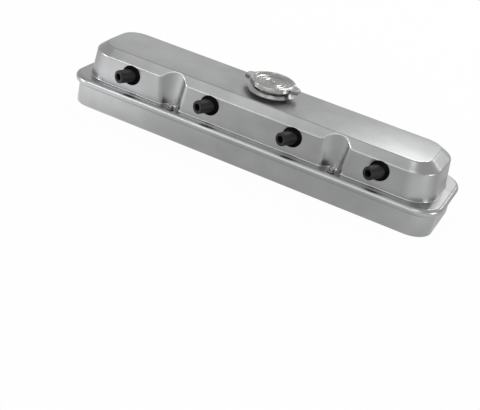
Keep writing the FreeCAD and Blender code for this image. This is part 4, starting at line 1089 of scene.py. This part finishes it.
@dataclass
class FillerCap:
    """Polished cap with a rippled dish, two folded ears, tangs, rivet, seal and keeper."""

    face: float = 95.55
    rim: float = 98.5
    radius: float = 28.0
    skirt: float = 28.4
    skirt_low: float = 92.4
    sheet: float = 1.0
    dish_sheet: float = 0.3
    crest: Pair = (24.3, 25.6)
    dish: float = 19.8
    ripples: tuple[Triple, ...] = ((10.4, 1.7, 0.45), (15.6, 1.1, 0.25))
    ear_x: float = 35.6
    ear_half: float = 4.4
    ear_root: float = math.radians(22.0)
    ear_top: float = 97.4
    ear_sheet: float = 1.2
    ear_blend: float = 1.6
    plate_sheet: float = 0.9
    fold_low: float = 91.8
    tang: tuple[Pair, ...] = ((20.2, 90.4), (24.6, 90.4), (25.4, 91.0), (25.4, 92.3), (23.4, 92.3),
                              (23.4, 91.7), (23.1, 91.4), (20.2, 91.4))
    tang_half: float = 4.0
    rivet: float = 3.3
    rivet_shank: float = 1.8
    segments: int = 288

    def dish_height(self, r: float) -> float:
        """Height of the dish.

        Args:
            r: distance from the middle.

        Returns:
            The height.
        """
        z = self.face
        for middle, half, rise in self.ripples:
            if abs(r - middle) < half:
                z += rise * (0.5 + 0.5 * math.cos(math.pi * (r - middle) / half))
        return z

    def reach(self, turn: np.ndarray) -> np.ndarray:
        """Distance from the middle to the rim's outer edge, out to the ears' tips.

        Args:
            turn: angles about the middle.

        Returns:
            The distances.
        """
        x, y = np.abs(np.cos(turn)), np.abs(np.sin(turn))
        root_y = self.radius * math.sin(self.ear_root)
        slope = (self.ear_half - root_y) / (self.ear_x - self.radius * math.cos(self.ear_root))
        side = (self.ear_half - slope * self.ear_x) / np.maximum(y - slope * x, 1e-6)
        end = self.ear_x / np.maximum(x, 1e-6)
        ear = np.where(np.arctan2(y, x) < math.pi / 4, np.minimum(side, end), 0.0)
        near = np.maximum(self.ear_blend - np.abs(ear - self.radius), 0.0) / self.ear_blend
        return np.maximum(ear, self.radius) + near ** 2 * self.ear_blend / 4.0

    def angles(self) -> np.ndarray:
        """Angles of the points round the cap, with the ears' four corners among them.

        Returns:
            The angles.
        """
        turn = round_angles(self.segments)
        corner = math.atan2(self.ear_half, self.ear_x)
        for place in (corner, math.pi - corner, math.pi + corner, 2.0 * math.pi - corner):
            turn[np.argmin(np.abs(turn - place))] = place
        return turn

    def shell(self) -> Shape:
        """Builds the dish, rim, turned-down ears and skirt as one closed sheet.

        Returns:
            Points and faces.
        """
        turn = self.angles()
        far = self.reach(turn)
        out = np.clip((far - self.radius) / 3.0, 0.0, 1.0)
        ears = np.clip((far - self.radius - 0.3) / 2.4, 0.0, 1.0)
        ears = ears * ears * (3.0 - 2.0 * ears)

        def row(r: np.ndarray | float, z: np.ndarray | float) -> Loop:
            """One loop from radii and heights."""
            radii, heights = (np.broadcast_to(np.asarray(size, float), turn.shape) for size in (r, z))
            return np.stack([radii * np.cos(turn), radii * np.sin(turn), heights], 1)

        def skirt(z: np.ndarray | float) -> np.ndarray:
            """Radius of the tapered skirt at a height."""
            share = (z - self.skirt_low) / (self.rim - 1.35 - self.skirt_low)
            return self.skirt + (self.radius - 0.3 - self.skirt) * share

        dish = np.linspace(1.9, self.dish, 56)
        upper = [row(r, self.dish_height(r)) for r in dish]
        under = [row(r, self.dish_height(r) - self.dish_sheet) for r in dish]
        crest_in, crest_out = self.crest
        shoulder = (crest_in - 0.3, self.rim - 0.9)
        upper += [row(r, z) for r, z in (
            *bend((self.dish, self.face), (self.dish + 1.6, self.face), shoulder, 5)[1:],
            *bend(shoulder, (crest_in, self.rim), (crest_in + 0.6, self.rim), 4)[1:])]
        plate = self.ear_top * out + (self.rim - 0.45) * (1 - out)
        upper.append(row(crest_out, self.rim - 0.1 - 0.2 * out))
        soft = 0.55 + 1.1 * ears
        start = self.rim - 0.25 - 0.4 * out
        upper += [row(crest_out + (far - soft - crest_out) * t, start * (1 - t) + plate * t)
                  for t in (0.35, 0.7, 1.0)]
        upper += [row(far - soft * (1.0 - math.sin(a)), plate - soft * (1.0 - math.cos(a)))
                  for a in np.linspace(0.0, math.pi / 2, 7)[1:]]
        below = plate - self.plate_sheet - (self.ear_sheet - self.plate_sheet) * ears
        inner = far - self.ear_sheet * ears
        low = below + (self.fold_low - self.ear_top + self.ear_sheet) * ears
        upper += [row(far, low + 0.2 * ears), row(far - 0.2 * ears, low), row(inner + 0.2 * ears, low - 0.01),
                  row(inner, low + 0.2 * ears - 0.02), row(inner, below - 0.03),
                  row(np.minimum(skirt(below) - 0.05, inner), below - 0.06)]
        for t in (0.25, 0.5, 0.75, 0.93):
            z = below * (1 - t) + self.skirt_low * t
            upper.append(row(skirt(z), z))
        upper += [row(r, z) for r, z in (
            (self.skirt - 0.12, self.skirt_low + 0.05), (self.skirt - 0.35, self.skirt_low),
            (self.skirt - 0.8, self.skirt_low), (self.skirt - self.sheet, self.skirt_low + 0.3),
            (self.radius - 1.6, self.rim - 1.7), (crest_in, self.rim - 1.3),
            (self.dish + 1.2, self.face - self.dish_sheet))]
        return flipped(skin(upper + under[::-1], around=True))

    def bent_tang(self, side: float) -> Shape:
        """Bent tang that grips under the neck's flange, on the right for 1 and the left for -1."""
        half = self.tang_half
        return skin([np.array([[side * x, y, z] for x, z in self.tang]) for y in (-half, half)], ends=True)

    def build(self, finishes: Finishes) -> None:
        """Makes the cap and dresses it.

        Args:
            finishes: the finishes of the cover.
        """
        cap = mesh_object("cap_pressing", *joined(self.shell(), self.bent_tang(1.0), self.bent_tang(-1.0)))
        fix_normals(cap)
        settle(cap, 40.0)
        dress(cap, finishes.chrome, Body.CAP, Slot.CHROME, "cap_shell")
        r, shank, face = self.rivet, self.rivet_shank, self.face
        rivet = mesh_object("cap_rivet_head", *lathe(
            [(2.3, 90.8), (r, 91.6), (r, 92.2), (shank, 92.2), (shank, face), (r, face), (r, face + 0.3),
             (r - 0.12, face + 0.6), (r - 0.5, face + 0.95), (r - 1.2, face + 1.25), (1.2, face + 1.38),
             (0.8, face + 1.25), (0.5, face + 1.1)], 48, ends=True))
        settle(rivet)
        dress(rivet, finishes.plated, Body.CAP, Slot.PLATED, "cap_rivet")
        dress_solid("cap_gasket", "cap_seal", 0.3, finishes.rubber, Body.CAP, Slot.RUBBER)
        dress_solid("cap_keeper", "cap_keeper_plate", 0.15, finishes.turned, Body.CAP, Slot.TURNED)
        dress_solid("filler_neck", "neck_tube", 0.2, finishes.turned, Body.COVER, Slot.TURNED)


# Studio


def heading(azimuth: float, elevation: float) -> Triple:
    """Direction from the cover, with the azimuth clockwise from the back.

    Args:
        azimuth: degrees from +Y towards +X.
        elevation: degrees above the floor.

    Returns:
        The unit direction.
    """
    turn, lift = math.radians(azimuth), math.radians(elevation)
    return math.sin(turn) * math.cos(lift), math.cos(turn) * math.cos(lift), math.sin(lift)


@dataclass(frozen=True)
class Lamp:
    """A soft rectangular lamp on a dome round the cover, in degrees, metres and watts."""

    name: str
    azimuth: float
    elevation: float
    power: float
    size: Pair = (0.6, 0.5)
    distance: float = 2.0

    def build(self) -> None:
        """Adds the lamp, turned towards the cover."""
        data = bpy.data.lights.new(self.name, "AREA")
        data.shape = "RECTANGLE"
        data.size, data.size_y = self.size
        data.energy = self.power
        lamp = bpy.data.objects.new(self.name, data)
        bpy.context.scene.collection.objects.link(lamp)
        place = Vector(heading(self.azimuth, self.elevation)) * self.distance
        lamp.location = place + Vector((0.0, 0.0, 0.05))
        lamp.rotation_euler = (-place).to_track_quat("-Z", "Y").to_euler()


@dataclass(frozen=True)
class PaintedGlowPatch:
    """A soft glowing spot painted on the floor that only metal sees, a painted reflection with no lamp behind
    it, in metres.
    """

    place: Pair
    spread: Pair
    gain: float


@dataclass
class Studio:
    """Pale floor, white surroundings, soft lamps and the camera."""

    lens: float = 75.8013
    place: Triple = (0.3803728, -1.0966018, 0.5376861)
    axes: tuple[Triple, ...] = (
        (0.8834021656, -0.3656380394, 0.2931031183),
        (0.4237813954, 0.3563550400, -0.8327186886),
        (0.2000248552, 0.8598371413, 0.4697554126))
    ambient: float = 0.6
    floor_half: float = 4000.0
    floor_low: float = -0.05
    floor_glow: float = 0.96
    floor_in_metal: float = 0.72
    world_in_metal: float = 0.70
    # painted reflection: strength of a soft glow at the front that only metal sees
    painted_front_reflection: float = 1.5
    # painted reflections: glowing spots on the floor that only metal sees, where no lamp is
    painted_glow_patches: tuple[PaintedGlowPatch, ...] = (
        PaintedGlowPatch((-0.30, -0.16), (0.11, 0.10), 1.15),
        PaintedGlowPatch((0.30, -0.16), (0.06, 0.10), 0.55),
        PaintedGlowPatch((0.50, -0.16), (0.06, 0.10), 1.3),
    )
    lamps: tuple[Lamp, ...] = (
        Lamp("back_high_box", 0.0, 45.0, 5.9, (0.45, 0.4)),
        Lamp("back_box", 0.0, 32.0, 1.2, (0.45, 0.4)),
        Lamp("back_right_box", 30.0, 22.0, 2.3, (0.45, 0.4)),
        Lamp("back_left_box", -30.0, 22.0, 0.25, (0.45, 0.4)),
        Lamp("front_left_box", 215.0, 28.0, 3.6),
        Lamp("left_low_box", 240.0, 8.0, 9.4),
        Lamp("high_left_box", 215.0, 55.0, 0.8),
        Lamp("high_right_box", 155.0, 50.0, 3.2),
        Lamp("right_box", 90.0, 10.0, 6.7),
    )

    def add_floor(self) -> None:
        """Adds the pale floor, white to the camera and clear from below, with painted glowing spots that only
        metal sees as painted reflections.
        """
        far, low = self.floor_half, self.floor_low
        corners = np.array([(-far, -far, low), (far, -far, low), (far, far, low), (-far, far, low)])
        floor = mesh_object("floor", corners, [(0, 1, 2, 3)])
        bench = Bench("pale_floor")
        bench.fill(bench.shader, {"Base Color": (0.9, 0.9, 0.9, 1.0), "Roughness": 0.9,
                                  "Specular IOR Level": 0.0})
        floor_and_painted_glow: Socket | float = self.floor_in_metal
        # painted reflections: glowing spots added to what glossy rays see of the floor; they light nothing
        for painted_patch in self.painted_glow_patches:
            (x, y), (wide, deep) = painted_patch.place, painted_patch.spread
            away = bench.add("ShaderNodeVectorMath", {0: bench.mapped((1 / wide, 1 / deep, 1.0),
                                                                      (-x / wide, -y / deep, 0.0))},
                             operation="LENGTH").outputs["Value"]
            fade = bench.maths("EXPONENT", bench.maths("MULTIPLY", bench.maths("MULTIPLY", away, away), -0.5))
            floor_and_painted_glow = bench.maths("MULTIPLY_ADD", fade, painted_patch.gain, floor_and_painted_glow)
        camera, seen = bench.rays()
        glow = bench.add("ShaderNodeEmission", {"Strength": bench.choose(camera, floor_and_painted_glow, 1.0)})
        mixer = bench.add("ShaderNodeMixShader", {
            "Fac": bench.maths("MULTIPLY", seen, self.floor_glow), 1: bench.shader.outputs["BSDF"],
            2: glow.outputs["Emission"]})
        clear = bench.add("ShaderNodeMixShader", {
            "Fac": bench.add("ShaderNodeNewGeometry").outputs["Backfacing"], 1: mixer.outputs["Shader"],
            2: bench.add("ShaderNodeBsdfTransparent").outputs["BSDF"]})
        bench.fill(bench.output, {"Surface": clear.outputs["Shader"]})
        floor.data.materials.append(bench.material)

    def add_world(self) -> None:
        """Adds white surroundings that are a little dimmer to metal, with a painted reflection at the front:
        a soft glow that only metal sees and that lights nothing.
        """
        world = bpy.data.worlds.new("white_surroundings")
        bpy.context.scene.world = world
        world.use_nodes = True
        tree = Tree(world.node_tree)
        way = tree.add("ShaderNodeTexCoord").outputs["Generated"]
        # painted reflection: a soft glow low at the front, added for glossy rays only
        dot = tree.add("ShaderNodeVectorMath", {0: way, 1: heading(180.0, 5.0)}, operation="DOT_PRODUCT")
        painted_front_lobe = tree.maths("POWER", tree.maths("MULTIPLY_ADD", dot.outputs["Value"], 0.5, 0.5), 12.0)
        metal = tree.maths("MULTIPLY_ADD", painted_front_lobe, self.painted_front_reflection, self.world_in_metal)
        camera, seen = tree.rays()
        bright = tree.choose(camera, metal, 1.0)
        tree.fill(world.node_tree.nodes["Background"], {"Color": (1.0, 1.0, 1.0, 1.0),
                                                        "Strength": tree.choose(seen, self.ambient, bright)})

    def build(self) -> None:
        """Adds floor, surroundings, lamps and camera."""
        self.add_floor()
        self.add_world()
        for lamp in self.lamps:
            lamp.build()
        data = bpy.data.cameras.new("photo_view")
        data.lens, data.sensor_width, data.sensor_fit = self.lens, 36.0, "HORIZONTAL"
        data.clip_start, data.clip_end = 0.01, 50.0
        camera = bpy.data.objects.new("photo_view", data)
        bpy.context.scene.collection.objects.link(camera)
        camera.matrix_world = Matrix.Translation(self.place) @ Matrix(self.axes).to_4x4()
        bpy.context.scene.camera = camera
        bpy.context.scene.view_settings.view_transform = "Standard"


def main() -> None:
    """Builds every piece in order, then the studio."""
    logging.basicConfig(level=logging.INFO, format="%(name)s: %(message)s")
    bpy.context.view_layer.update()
    finishes = Finishes()
    rows = RowTree()
    TopCover().build(finishes)
    WireBoots().build(finishes, rows)
    CoverScrews().build(finishes, rows)
    Underside().build(finishes, rows)
    FillerCap().build(finishes)
    Studio().build()


if __name__ == "__main__":
    main()
